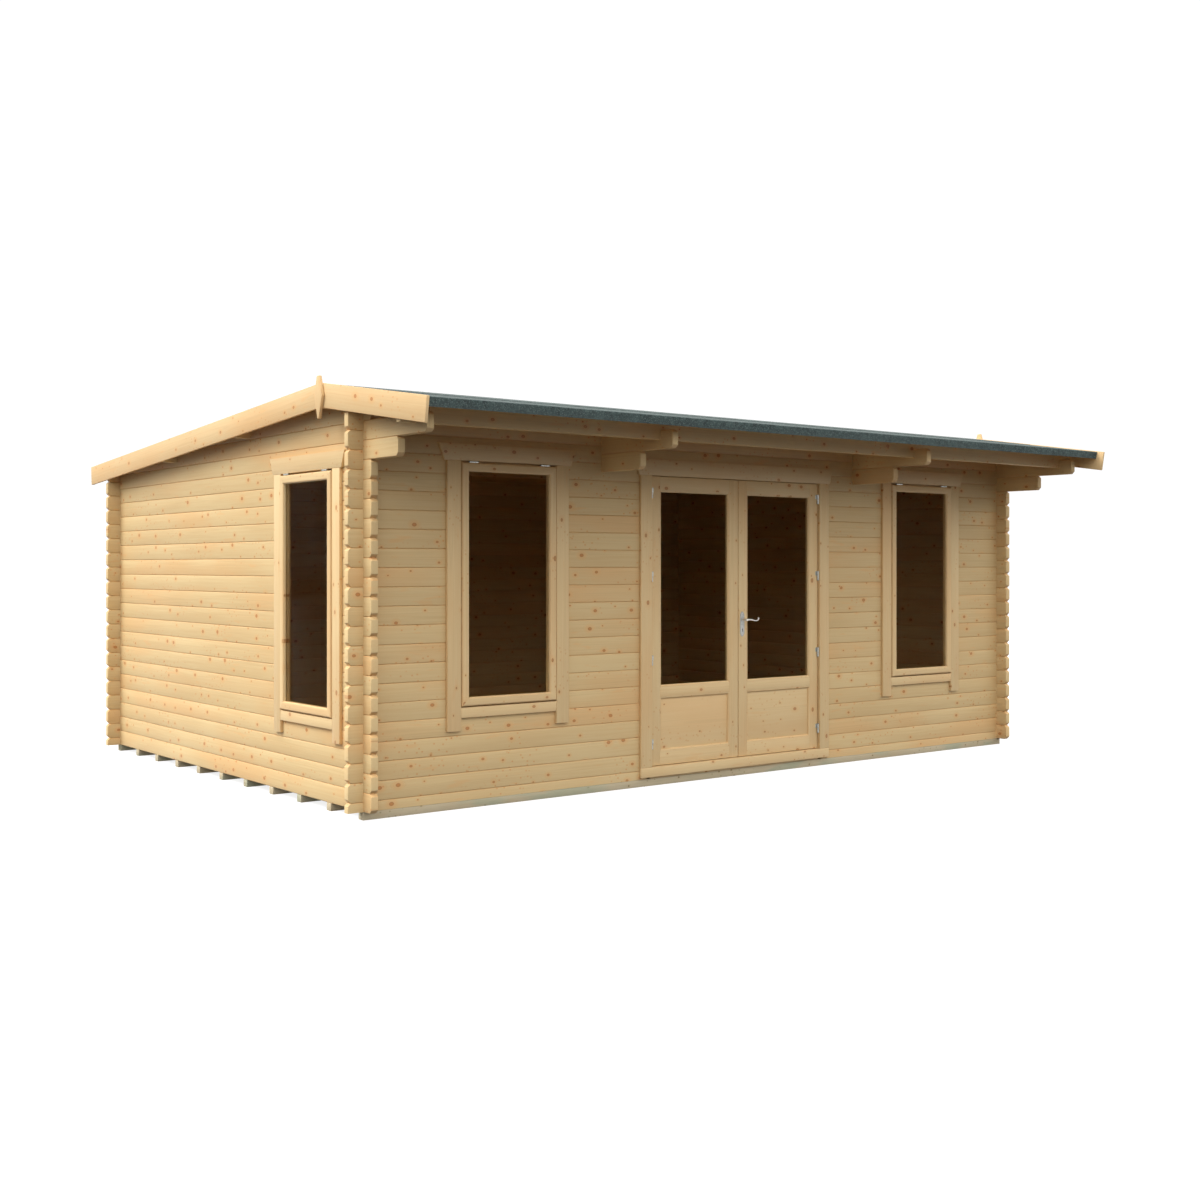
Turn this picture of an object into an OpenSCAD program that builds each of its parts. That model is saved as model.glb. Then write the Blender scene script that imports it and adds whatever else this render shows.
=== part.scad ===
// Log cabin with an offset apex roof, three top-hung windows and glazed double doors.
// Sizes are in millimetres. X runs along the long front wall, Y from front to back, Z up.
// The origin is the centre of the floor plan at ground level, under the middle bearer.

/* [Walls] */
// Length of the front wall over the outer log faces
front_length = 5830; // [4860:1:7000]
// Depth of the side walls over the outer log faces
side_depth = 4056; // [3380:1:4900]
// Thickness of one wall log
log_thickness = 44; // [36:1:54]
// Height of one wall log, joint to joint
log_height = 112; // [94:1:134]
// Length of log end that stands out past each crossing
log_end = 96; // [80:1:116]
// Depth of the V-groove along each log joint
groove_depth = 3; // [2:1:8]
// Chamfer cut on the top and bottom edges of each log end
end_chamfer = 18; // [8:1:24]

/* [Base] */
// Number of bearers under the floor
bearer_count = 11; // [9:1:13]
// Width of one bearer
bearer_width = 56; // [46:1:66]
// Height of one bearer
bearer_height = 48; // [40:1:58]
// Thickness of the floor boards
floor_thickness = 19; // [16:1:23]

/* [Roof] */
// Height of the bargeboard tops at the ridge, above the lowest logs
ridge_height = 2480; // [2440:1:2980]
// Distance of the ridge behind the front wall face
ridge_set_back = 302; // [250:1:362]
// Fall of the short front slope
front_pitch = 8.7; // [7.2:0.1:9.6]
// Fall of the long rear slope
rear_pitch = 3.9; // [3.2:0.1:4.7]
// Distance of the felt edge in front of the front wall face
front_overhang = 850; // [800:1:1020]
// Distance of the felt edge behind the rear wall face
rear_overhang = 245; // [200:1:295]
// Thickness of the roof boards
roof_board = 19; // [16:1:23]
// Thickness of the mineral felt
felt_thickness = 4; // [3:0.5:5]
// Height of the felt turned down over the eave
felt_turn_down = 53; // [44:1:64]
// Thickness of a roof beam
beam_thickness = 44; // [36:1:54]
// Height of a roof beam
beam_height = 122; // [100:1:146]
// Width of a bargeboard, square to its slope
bargeboard_width = 143; // [120:1:170]
// Thickness of a bargeboard and of a finial
bargeboard_thickness = 19; // [16:1:23]
// Length of bargeboard past the felt edge
bargeboard_end = 55; // [40:1:66]
// Height of a gable finial
finial_height = 250; // [210:1:300]
// Width of a gable finial at its widest
finial_width = 104; // [86:1:124]

/* [Canopy] */
// Reach of the lower bracket logs in front of the wall
lower_reach = 402; // [340:1:480]
// Reach of the upper bracket logs in front of the wall
upper_reach = 712; // [680:1:780]
// Distance of a middle bracket from the middle of the front wall
bracket_offset = 1177; // [1100:1:1240]
// Distance of the eave beam in front of the wall
eave_beam_set = 575; // [520:1:640]

/* [Windows] */
// Distance of a front window from the middle of the front wall
window_offset = 1919; // [1800:1:1960]
// Distance of the side window behind the front wall face
side_window_set_back = 700; // [620:1:840]
// Width of a window sash
sash_width = 694; // [600:1:740]
// Height of a window sash
sash_height = 1464; // [1300:1:1500]
// Height of a front sash above the lowest logs
sash_sill = 567; // [560:1:600]
// Width of a sash stile
sash_stile = 50; // [42:1:60]
// Width of a sash rail
sash_rail = 52; // [44:1:62]
// Thickness of a window sash
sash_thickness = 48; // [42:1:56]
// Width of a window casing board
casing_width = 96; // [80:1:115]
// Thickness of the casing boards
casing_thickness = 20; // [16:1:24]
// Thickness of the glass
glass_thickness = 4; // [3:1:6]

/* [Doors] */
// Clear width between the door casings
door_opening = 1580; // [1400:1:1640]
// Height of the door leaf tops above the lowest logs
door_top = 2005; // [1990:1:2010]
// Height of the threshold board
threshold_height = 78; // [66:1:94]
// Thickness of a door leaf
leaf_thickness = 40; // [34:1:41]
// Width of a door stile
door_stile = 92; // [78:1:110]
// Height of the top rail of a door
door_top_rail = 102; // [86:1:122]
// Height of the glass edge of the middle rail above the lowest logs
mid_rail_top = 616; // [590:1:680]
// Height of the middle rail
mid_rail = 92; // [76:1:110]
// Height of the bottom rail
bottom_rail = 105; // [88:1:126]
// Width of a door casing board
door_casing = 95; // [80:1:110]
// Height of a hinge barrel
hinge_height = 68; // [56:1:80]
// Radius of a hinge barrel
hinge_radius = 7; // [6:0.5:7]
// Length of the lever from its spindle
lever_length = 118; // [98:1:140]
// Height of the lever spindle above the lowest logs
lever_level = 1035; // [980:1:1100]

/* [Hidden] */
$fn = 48;
t = log_thickness;
p = log_height;
half_log = p / 2;
x0 = -front_length / 2;
x1 = front_length / 2;
y0 = -side_depth / 2;
y1 = side_depth / 2;
zb = bearer_height;
groove_half = groove_depth * 1.2;
// Roof lines, as heights of the bargeboard tops
ridge_y = y0 + ridge_set_back;
ridge_z = zb + ridge_height;
front_fall = tan(front_pitch);
rear_fall = tan(rear_pitch);
eave_y = y0 - front_overhang;
rear_y = y1 + rear_overhang;
felt_drop = 4;
deck_drop = felt_drop + felt_thickness;
under_drop = deck_drop + roof_board;
// Play where two sloping layers lie on each other
seat = 0.2;
wall_top = ridge_z + p;
rows = ceil((wall_top - zb) / p);
// Window and door levels
sash_proud = casing_thickness + 8;
sash_back = sash_thickness - sash_proud;
side_drop = half_log;
casing_gap = 4;
frame_wall = 22;
win_half = sash_width / 2 + casing_gap;
head_gap = 11;
casing_height = 103;
sill_drop = 7;
sill_height = 62;
leg_drop = 147;
hole_half = win_half + frame_wall;
hole_low = sash_sill - sill_drop - frame_wall;
hole_high = sash_sill + sash_height + head_gap + 16;
door_half = door_opening / 2;
door_wall = 30;
door_hole = door_half + door_wall;
door_head = door_top + 5;
door_hole_top = door_head + door_wall;
leaf_gap = 5;
meet_gap = 6;
leaf_low = threshold_height + leaf_gap;
hinge_y = y0 - hinge_radius - 1;
hinge_x = door_half - hinge_radius - 0.5;
hinge_step = (door_top - threshold_height - 260) / 3;
// Joint rows that bound the wall parts
base_row = floor((hole_low - half_log) / p) + 1;
head_row = ceil((min(hole_high, door_hole_top) - half_log) / p) - 1;
base_split = half_log + base_row * p;
head_split = half_log + head_row * p;
// Rows of the bracket logs
upper_row = floor((ridge_height - (ridge_set_back + upper_reach) * front_fall - under_drop) / p);
upper_top = zb + upper_row * p;
lower_top = upper_top - p;
lower_low = lower_top - p;
bracket_list = [x0, -bracket_offset - t / 2, bracket_offset - t / 2, x1 - t];

// Which part to draw

function top_at(y) = y < ridge_y ? ridge_z - (ridge_y - y) * front_fall : ridge_z - (y - ridge_y) * rear_fall;

// Points of a grooved log face that stands at a, with its grooves cut towards a + d
function face_up(a, d, first, n) = [for (k = [0:n]) each
  [[a, first + k * p - groove_half], [a + d, first + k * p], [a, first + k * p + groove_half]]];
function turned(l) = [for (i = [len(l) - 1:-1:0]) l[i]];

// Cross-section of stacked logs between a and a + t, with joints from the height given
module log_section(a, first, low, high) {
  k0 = ceil((low - first - groove_half) / p);
  k1 = floor((high - first + groove_half) / p);
  up = face_up(a, groove_depth, first + k0 * p, k1 - k0);
  down = face_up(a + t, -groove_depth, first + k0 * p, k1 - k0);
  polygon(concat([[a, low - 40]], up, [[a, high + 40], [a + t, high + 40]], turned(down), [[a + t, low - 40]]));
}

// Side view of stacked logs from a to b, with chamfered ends
module log_outline(a, b, first, low, high) {
  c = end_chamfer;
  k0 = ceil((low - first - c) / p);
  k1 = floor((high - first + c) / p);
  left = [for (k = [k0:k1]) each [[a, first + k * p - c], [a + c, first + k * p], [a, first + k * p + c]]];
  right = [for (k = [k0:k1]) each [[b, first + k * p - c], [b - c, first + k * p], [b, first + k * p + c]]];
  intersection() {
    polygon(concat([[a, low - 90]], left, [[a, high + 90], [b, high + 90]], turned(right), [[b, low - 90]]));
    translate([a - 1, low]) square([b - a + 2, high - low]);
  }
}

// Slots for the crossing logs, centred on this wall's own joints
module crossing_slots(a, first, low, high) {
  k0 = ceil((low - first - p / 4) / p);
  k1 = floor((high - first + p / 4) / p);
  for (k = [k0:k1]) {
    translate([a, first + k * p - p / 4]) square([t, p / 2]);
  }
}

module under_roof(drop) {
  polygon([[y0 - 3000, top_at(y0 - 3000) - drop], [ridge_y, ridge_z - drop], [y1 + 3000, top_at(y1 + 3000) - drop],
    [y1 + 3000, -100], [y0 - 3000, -100]]);
}

// Extrude a Y-Z drawing along X from a to b
module along_x(a, b) {
  translate([a, 0, 0]) rotate([90, 0, 90]) linear_extrude(b - a) children();
}

// Extrude an X-Z drawing along Y from a to b
module along_y(a, b) {
  translate([0, b, 0]) rotate([90, 0, 0]) linear_extrude(b - a) children();
}

// Openings of the front wall, in its side view
module front_holes() {
  for (s = [-1, 1]) {
    translate([s * window_offset - hole_half, zb + hole_low]) square([2 * hole_half, hole_high - hole_low]);
  }
  translate([-door_hole, 0]) square([2 * door_hole, zb + door_hole_top]);
}

// Part of a long wall between a and b, low and high; face is its outer Y
module long_wall(face, a, b, low, high, cut_roof) {
  first = zb + half_log;
  intersection() {
    along_y(face, face + t) difference() {
      intersection() {
        log_outline(x0 - log_end, x1 + log_end, first, low, high);
        translate([a, low]) square([b - a, high - low]);
      }
      crossing_slots(x0, first, low, high);
      crossing_slots(x1 - t, first, low, high);
      if (face == y0) {
        front_holes();
        for (i = [1, 2]) {
          crossing_middle(bracket_list[i]);
        }
      }
    }
    along_x(a, b) intersection() {
      log_section(face, first, low, high);
      if (cut_roof) under_roof(under_drop + seat);
    }
  }
}

// Slots in the front wall for one middle bracket
module crossing_middle(a) {
  for (z = [lower_low + half_log, lower_top + half_log]) {
    translate([a, z - p / 4]) square([t, p / 2]);
  }
}

// Part of a side wall between a and b, low and high; face is its lower X
module short_wall(face, a, b, low, high, side) {
  intersection() {
    along_x(face, face + t) difference() {
      intersection() {
        log_outline(y0 - log_end, y1 + log_end, zb, low, high);
        translate([a, low]) square([b - a, high - low]);
        under_roof(under_drop + seat);
      }
      crossing_slots(y0, zb, low, high);
      crossing_slots(y1 - t, zb, low, high);
      translate([y0 - log_end - 1, lower_low]) square([log_end + 1, upper_top - lower_low]);
      if (side) {
        translate([y0 + side_window_set_back - hole_half, zb + hole_low - side_drop])
          square([2 * hole_half, hole_high - hole_low]);
      }
      for (y = beam_lines) {
        translate([y - beam_thickness / 2, top_at(y) - under_drop - beam_height])
          square([beam_thickness, beam_height + 100]);
      }
    }
    along_y(a, b) log_section(face, zb, low, high);
  }
}

beam_lines = [for (share = [0, 0.335, 0.673]) round(ridge_y + (y1 - ridge_y) * share)];

module bearers() {
  color([0.66, 0.63, 0.52])
  for (i = [0:bearer_count - 1]) {
    translate([x0, y0 + i * (side_depth - bearer_width) / (bearer_count - 1), 0])
      cube([front_length, bearer_width, bearer_height]);
  }
}

module floor_boards() {
  color([0.86, 0.72, 0.5])
  translate([x0 + t, y0 + t, zb]) cube([front_length - 2 * t, side_depth - 2 * t, floor_thickness]);
}

module front_wall_base_left() {
  color([0.9, 0.76, 0.54]) long_wall(y0, x0 - log_end, 0, zb, zb + base_split, false);
}

module front_wall_base_right() {
  color([0.9, 0.76, 0.54]) long_wall(y0, 0, x1 + log_end, zb, zb + base_split, false);
}

module front_pier(a, b) {
  color([0.9, 0.76, 0.54]) long_wall(y0, a, b, zb + base_split, zb + head_split, false);
}

module front_pier_left_corner() {
  front_pier(x0 - log_end, -window_offset);
}

module front_pier_left() {
  front_pier(-window_offset, 0);
}

module front_pier_right() {
  front_pier(0, window_offset);
}

module front_pier_right_corner() {
  front_pier(window_offset, x1 + log_end);
}

module front_wall_head() {
  color([0.9, 0.76, 0.54]) long_wall(y0, x0 - log_end, x1 + log_end, zb + head_split, wall_top, true);
}

module rear_wall() {
  color([0.9, 0.76, 0.54]) long_wall(y1 - t, x0 - log_end, x1 + log_end, zb, wall_top, true);
}

side_base = zb + base_split - half_log;
side_head = zb + head_split - half_log;

module left_wall_base() {
  color([0.9, 0.76, 0.54]) short_wall(x0, y0 - log_end, y1 + log_end, zb, side_base, true);
}

module left_pier_front() {
  color([0.9, 0.76, 0.54])
    short_wall(x0, y0 - log_end, y0 + side_window_set_back, side_base, side_head, true);
}

module left_pier_rear() {
  color([0.9, 0.76, 0.54])
    short_wall(x0, y0 + side_window_set_back, y1 + log_end, side_base, side_head, true);
}

module left_wall_gable() {
  color([0.9, 0.76, 0.54]) short_wall(x0, y0 - log_end, y1 + log_end, side_head, wall_top, true);
}

module right_wall() {
  color([0.9, 0.76, 0.54]) short_wall(x1 - t, y0 - log_end, y1 + log_end, zb, side_head, false);
}

module right_wall_gable() {
  color([0.9, 0.76, 0.54]) short_wall(x1 - t, y0 - log_end, y1 + log_end, side_head, wall_top, false);
}

// One pair of stepped bracket logs; back is how far they run behind the front wall face
module bracket_pair(a, back) {
  intersection() {
    along_x(a, a + t) difference() {
      union() {
        log_outline(y0 - lower_reach, y0 + back + end_chamfer, zb, lower_low, lower_top);
        log_outline(y0 - upper_reach, y0 + back + end_chamfer, zb, lower_top, upper_top);
      }
      translate([y0 + back, lower_low - 1]) square([300, 3 * p]);
      crossing_slots(y0, zb, lower_low, upper_top);
      translate([y0 - eave_beam_set - beam_thickness / 2, upper_top - p / 4]) square([beam_thickness, p]);
    }
    along_y(y0 - upper_reach, y0 + back) log_section(a, zb, lower_low, upper_top);
  }
}

module canopy_brackets() {
  color([0.9, 0.76, 0.54]) {
    bracket_pair(bracket_list[0], 0);
    bracket_pair(bracket_list[1], t);
    bracket_pair(bracket_list[2], t);
    bracket_pair(bracket_list[3], 0);
  }
}

// A roof beam along X, its top cut to the roof
module roof_beam(y, low) {
  along_x(x0 - log_end, x1 + log_end) intersection() {
    translate([y - beam_thickness / 2, low]) square([beam_thickness, 400]);
    under_roof(under_drop + seat);
  }
}

module eave_beam() {
  color([0.9, 0.76, 0.54]) difference() {
    roof_beam(y0 - eave_beam_set, upper_top - p / 2);
    for (a = bracket_list) {
      translate([a, y0 - eave_beam_set - beam_thickness, upper_top - p]) cube([t, 2 * beam_thickness, p * 3 / 4]);
    }
  }
}

module ridge_beam() {
  color([0.9, 0.76, 0.54]) roof_beam(beam_lines[0], top_at(beam_lines[0]) - under_drop - beam_height);
}

module rear_beams() {
  color([0.9, 0.76, 0.54]) for (i = [1, 2]) {
    roof_beam(beam_lines[i], top_at(beam_lines[i]) - under_drop - beam_height);
  }
}

// A layer that follows one slope from a to b, between two drops below the bargeboard tops
module slope_layer(a, b, over, under) {
  polygon([[a, top_at(a) - over], [b, top_at(b) - over], [b, top_at(b) - under], [a, top_at(a) - under]]);
}

module front_roof_boards() {
  color([0.86, 0.72, 0.5]) along_x(x0 - log_end, x1 + log_end)
    slope_layer(eave_y + felt_thickness, ridge_y, deck_drop + seat, under_drop);
}

module rear_roof_boards() {
  color([0.86, 0.72, 0.5]) along_x(x0 - log_end, x1 + log_end)
    slope_layer(ridge_y, rear_y - felt_thickness, deck_drop + seat, under_drop);
}

module eave_strips() {
  strip = felt_turn_down - felt_thickness - roof_board;
  color([0.86, 0.72, 0.5]) along_x(x0 - log_end, x1 + log_end) {
    slope_layer(eave_y + felt_thickness, eave_y + felt_thickness + 28, under_drop + seat, under_drop + strip);
    slope_layer(rear_y - felt_thickness - 28, rear_y - felt_thickness, under_drop + seat, under_drop + strip);
  }
}

module front_felt() {
  color([0.25, 0.34, 0.33]) along_x(x0 - log_end, x1 + log_end) union() {
    slope_layer(eave_y, ridge_y, felt_drop, deck_drop);
    slope_layer(eave_y, eave_y + felt_thickness, felt_drop, felt_drop + felt_turn_down);
  }
}

module rear_felt() {
  color([0.25, 0.34, 0.33]) along_x(x0 - log_end, x1 + log_end) union() {
    slope_layer(ridge_y, rear_y, felt_drop, deck_drop);
    slope_layer(rear_y - felt_thickness, rear_y, felt_drop, felt_drop + felt_turn_down);
  }
}

// One bargeboard drawn in Y-Z, with its free end cut square to the slope
module bargeboard_shape(front) {
  pitch = front ? front_pitch : rear_pitch;
  end_y = front ? eave_y - bargeboard_end : rear_y + bargeboard_end;
  deep = bargeboard_width / cos(pitch);
  lean = bargeboard_width * sin(pitch) * (front ? 1 : -1);
  polygon([[end_y, top_at(end_y)], [ridge_y, ridge_z], [ridge_y, ridge_z - deep],
    [end_y + lean, top_at(end_y) - bargeboard_width * cos(pitch)]]);
}

module bargeboard_pair(front) {
  color([0.93, 0.8, 0.58]) {
    along_x(x0 - log_end - bargeboard_thickness, x0 - log_end) bargeboard_shape(front);
    along_x(x1 + log_end, x1 + log_end + bargeboard_thickness) bargeboard_shape(front);
  }
}

module front_bargeboards() {
  bargeboard_pair(true);
}

module rear_bargeboards() {
  bargeboard_pair(false);
}

module finials() {
  h = finial_height;
  w = finial_width / 2;
  color([0.93, 0.8, 0.58]) for (a = [x0 - log_end - 2 * bargeboard_thickness, x1 + log_end + bargeboard_thickness]) {
    along_x(a, a + bargeboard_thickness) translate([ridge_y, ridge_z + 40])
      polygon([[-15, 0], [15, 0], [w, -0.47 * h], [9, -h], [-9, -h], [-w, -0.47 * h]]);
  }
}

// Window frame, drawn about its own middle with the wall face at Y = 0
module window_frame() {
  low = sash_sill - sill_drop;
  high = sash_sill + sash_height + head_gap;
  lip = 15;
  color([0.92, 0.78, 0.56]) union() {
    difference() {
      translate([-hole_half, 0, hole_low]) cube([2 * hole_half, t, hole_high - hole_low]);
      translate([-win_half, -1, low]) cube([2 * win_half, sash_back + 1, high - low]);
      translate([-win_half + lip, -1, low + lip + 5]) cube([2 * win_half - 2 * lip, t + 2, high - low - 2 * lip - 12]);
    }
    for (s = [-1, 1]) {
      translate([s * (win_half + casing_width / 2) - casing_width / 2, -casing_thickness, sash_sill - leg_drop])
        cube([casing_width, casing_thickness, high - sash_sill + leg_drop]);
    }
    translate([-win_half, -casing_thickness, low - sill_height]) cube([2 * win_half, casing_thickness, sill_height]);
    along_y(-casing_thickness, 0)
      polygon([[-win_half - casing_width - 18, high], [win_half + casing_width + 18, high],
        [win_half + casing_width + 60, high + casing_height], [-win_half - casing_width - 60, high + casing_height]]);
  }
}

module window_sash() {
  color([0.92, 0.78, 0.56]) difference() {
    translate([-sash_width / 2, -sash_proud, sash_sill]) cube([sash_width, sash_thickness, sash_height]);
    translate([-sash_width / 2 + sash_stile, -sash_proud - 1, sash_sill + sash_rail])
      cube([sash_width - 2 * sash_stile, sash_thickness + 2, sash_height - 2 * sash_rail]);
    window_glass();
  }
}

module window_glass() {
  color([0.55, 0.62, 0.62, 0.4]) translate([-sash_width / 2 + sash_stile - 8, 20 - sash_proud, sash_sill + sash_rail - 8])
    cube([sash_width - 2 * sash_stile + 16, glass_thickness, sash_height - 2 * sash_rail + 16]);
}

module window_hinge_pair() {
  color([0.72, 0.72, 0.7]) for (s = [-1, 1]) {
    translate([s * 262 - 33, 6 - sash_proud, sash_sill + sash_height + 5.5]) rotate([0, 90, 0]) cylinder(r = 5.5, h = 66);
  }
}

module at_front_windows() {
  for (s = [-1, 1]) {
    translate([s * window_offset, y0, zb]) children();
  }
}

module at_side_window() {
  translate([x0, y0 + side_window_set_back, zb - side_drop]) rotate([0, 0, -90]) children();
}

module front_window_frames() {
  at_front_windows() window_frame();
}

module side_window_frame() {
  at_side_window() window_frame();
}

module front_sashes() {
  at_front_windows() window_sash();
}

module side_sash() {
  at_side_window() window_sash();
}

module front_window_glass() {
  at_front_windows() window_glass();
}

module side_window_glass() {
  at_side_window() window_glass();
}

module window_hinges() {
  at_front_windows() window_hinge_pair();
  at_side_window() window_hinge_pair();
}

module door_frame() {
  deep = t + 16;
  outer = door_half + door_casing;
  color([0.92, 0.78, 0.56]) translate([0, y0, zb]) union() {
    difference() {
      translate([-door_hole, 0, 0]) cube([2 * door_hole, deep, door_hole_top]);
      translate([-door_half, -1, threshold_height]) cube([2 * door_half, leaf_thickness + 6, door_head - threshold_height]);
      translate([-door_half + 15, -1, threshold_height])
        cube([2 * door_half - 30, deep + 2, door_head - 15 - threshold_height]);
      translate([-door_hole - 1, t, -1]) cube([2 * door_hole + 2, deep, floor_thickness + 1]);
    }
    for (s = [-1, 1]) {
      translate([s * (door_half + door_casing / 2) - door_casing / 2, -casing_thickness, 12])
        cube([door_casing, casing_thickness, door_head - 12]);
    }
    translate([-outer, -casing_thickness, 12]) cube([2 * outer, casing_thickness, threshold_height - 12]);
    along_y(-casing_thickness, 0)
      polygon([[-outer - 12, door_head], [outer + 12, door_head],
        [outer + 42, door_head + 110], [-outer - 42, door_head + 110]]);
  }
}

// A door leaf drawn with its hinge edge at X = 0 and its face at Y = 0
leaf_width = door_half - leaf_gap - meet_gap / 2;

module leaf_glass() {
  low = mid_rail_top;
  high = door_top - door_top_rail;
  color([0.55, 0.62, 0.62, 0.4]) translate([door_stile - 8, 14, low - 8])
    cube([leaf_width - 2 * door_stile + 16, glass_thickness, high - low + 16]);
}

module leaf_wood() {
  low = mid_rail_top;
  high = door_top - door_top_rail;
  panel_low = leaf_low + bottom_rail;
  panel_high = mid_rail_top - mid_rail;
  clear = leaf_width - 2 * door_stile;
  color([0.92, 0.78, 0.56]) difference() {
    translate([0, 0, leaf_low]) cube([leaf_width, leaf_thickness, door_top - leaf_low]);
    translate([door_stile, -1, low]) cube([clear, leaf_thickness + 2, high - low]);
    translate([door_stile, -1, panel_low]) cube([clear, 13, panel_high - panel_low]);
    translate([door_stile, leaf_thickness - 12, panel_low]) cube([clear, 13, panel_high - panel_low]);
    leaf_glass();
  }
}

// Place a leaf drawing on the left or right side of the doorway
module on_left() {
  translate([-door_half + leaf_gap, y0, zb]) children();
}

module on_right() {
  translate([door_half - leaf_gap, y0, zb]) mirror([1, 0, 0]) children();
}

module left_door() {
  on_left() leaf_wood();
}

module right_door() {
  on_right() leaf_wood();
}

module left_door_glass() {
  on_left() leaf_glass();
}

module right_door_glass() {
  on_right() leaf_glass();
}

// Upper knuckle, fixed to a leaf, for the left side
module leaf_knuckles() {
  r = hinge_radius;
  for (i = [0:3]) {
    z = zb + threshold_height + 150 + i * hinge_step;
    difference() {
      union() {
        translate([-hinge_x, hinge_y, z + 0.5]) cylinder(r = r, h = hinge_height / 2 - 0.5);
        translate([-hinge_x, y0 - 2, z + 0.5]) cube([18, 2, hinge_height / 2 - 0.5]);
      }
      translate([-hinge_x, hinge_y, z - 1]) cylinder(r = 3.2, h = hinge_height);
    }
  }
}

// Lower knuckle with the pin, fixed to the frame, for the left side
module frame_knuckles() {
  r = hinge_radius;
  for (i = [0:3]) {
    z = zb + threshold_height + 150 + i * hinge_step;
    union() {
      translate([-hinge_x, hinge_y, z - hinge_height / 2]) cylinder(r = r, h = hinge_height / 2);
      translate([-hinge_x, hinge_y, z - hinge_height / 2]) cylinder(r = 3, h = hinge_height - 1);
      translate([-door_half, hinge_y - 2, z - hinge_height / 2]) cube([8, 4, hinge_height / 2]);
    }
  }
}

module frame_hinges() {
  color([0.72, 0.72, 0.7]) {
    frame_knuckles();
    mirror([1, 0, 0]) frame_knuckles();
  }
}

module left_door_hinges() {
  color([0.72, 0.72, 0.7]) leaf_knuckles();
}

module right_door_hinges() {
  color([0.72, 0.72, 0.7]) mirror([1, 0, 0]) leaf_knuckles();
}

lever_x = 37;

module lock_plate() {
  z = zb + lever_level;
  color([0.7, 0.69, 0.66]) difference() {
    union() {
      translate([lever_x - 20, y0 - 8, z - 118]) cube([40, 8, 176]);
      translate([lever_x, y0 - 8, z]) rotate([90, 0, 0]) cylinder(r = 12, h = 4);
    }
    translate([lever_x, y0 + 1, z - 66]) rotate([90, 0, 0]) cylinder(r = 4, h = 12);
    translate([lever_x - 1.7, y0 - 10, z - 82]) cube([3.4, 11, 16]);
  }
}

module lever_handle() {
  z = zb + lever_level;
  color([0.7, 0.69, 0.66]) union() {
    translate([lever_x, y0 - 12.5, z]) rotate([90, 0, 0]) cylinder(r = 9, h = 44);
    translate([lever_x, y0 - 48, z]) rotate([0, 90, 0]) cylinder(r = 8, h = lever_length - 14);
    translate([lever_x + lever_length - 14, y0 - 48, z - 6]) sphere(r = 13);
  }
}

bearers();
floor_boards();
front_wall_base_left();
front_wall_base_right();
front_pier_left_corner();
front_pier_left();
front_pier_right();
front_pier_right_corner();
front_wall_head();
left_wall_base();
left_pier_front();
left_pier_rear();
left_wall_gable();
right_wall();
right_wall_gable();
rear_wall();
canopy_brackets();
eave_beam();
ridge_beam();
rear_beams();
front_roof_boards();
rear_roof_boards();
eave_strips();
front_felt();
rear_felt();
front_bargeboards();
rear_bargeboards();
finials();
front_window_frames();
side_window_frame();
front_sashes();
side_sash();
front_window_glass();
side_window_glass();
window_hinges();
door_frame();
left_door();
left_door_glass();
right_door();
right_door_glass();
frame_hinges();
left_door_hinges();
right_door_hinges();
lock_plate();
lever_handle();
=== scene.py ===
import math
import random

import bmesh
import bpy
from mathutils import Matrix, Vector, noise


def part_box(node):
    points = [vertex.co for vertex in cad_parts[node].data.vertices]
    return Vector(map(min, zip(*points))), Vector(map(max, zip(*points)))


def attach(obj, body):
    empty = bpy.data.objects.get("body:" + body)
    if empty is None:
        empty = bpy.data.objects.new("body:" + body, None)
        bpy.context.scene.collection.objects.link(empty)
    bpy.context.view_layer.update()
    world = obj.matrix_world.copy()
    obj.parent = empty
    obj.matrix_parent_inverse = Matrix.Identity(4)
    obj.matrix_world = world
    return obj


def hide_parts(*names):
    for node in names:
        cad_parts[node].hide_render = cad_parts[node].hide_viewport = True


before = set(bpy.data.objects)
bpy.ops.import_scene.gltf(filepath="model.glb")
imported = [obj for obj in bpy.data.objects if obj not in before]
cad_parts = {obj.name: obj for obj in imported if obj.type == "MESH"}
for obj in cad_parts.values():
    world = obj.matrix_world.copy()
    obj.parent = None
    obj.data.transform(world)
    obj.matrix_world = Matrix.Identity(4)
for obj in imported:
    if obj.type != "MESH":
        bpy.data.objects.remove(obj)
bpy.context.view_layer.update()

X = Vector((1, 0, 0))
Y = Vector((0, 1, 0))
Z = Vector((0, 0, 1))

# Walls, in metres
BASE_CORNER, BASE_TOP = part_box("bearers")
X0, Y0, ZB = BASE_CORNER.x, BASE_CORNER.y, BASE_TOP.z
X1, Y1 = -X0, -Y0
THICK = 0.044
LOG = 0.112
EAR = 0.096
GROOVE = 0.003
TONGUE = 0.005
TONGUE_FOOT = 0.013
TONGUE_TIP = 0.015
EAR_UNDER = 0.021
EAR_OVER = 0.016
ARM_TUCK = 0.003
SLIVER = 0.004
HAIR = 0.0003
FIT = 0.0004
BASE_ROWS = 5
HEAD_ROW = 17
ARM_ROW = 18
# Base
BEARERS = 11
BEARER_WIDTH = 0.056
FLOOR_BOARDS = 64
FLOOR_GAP = 0.001
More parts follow.
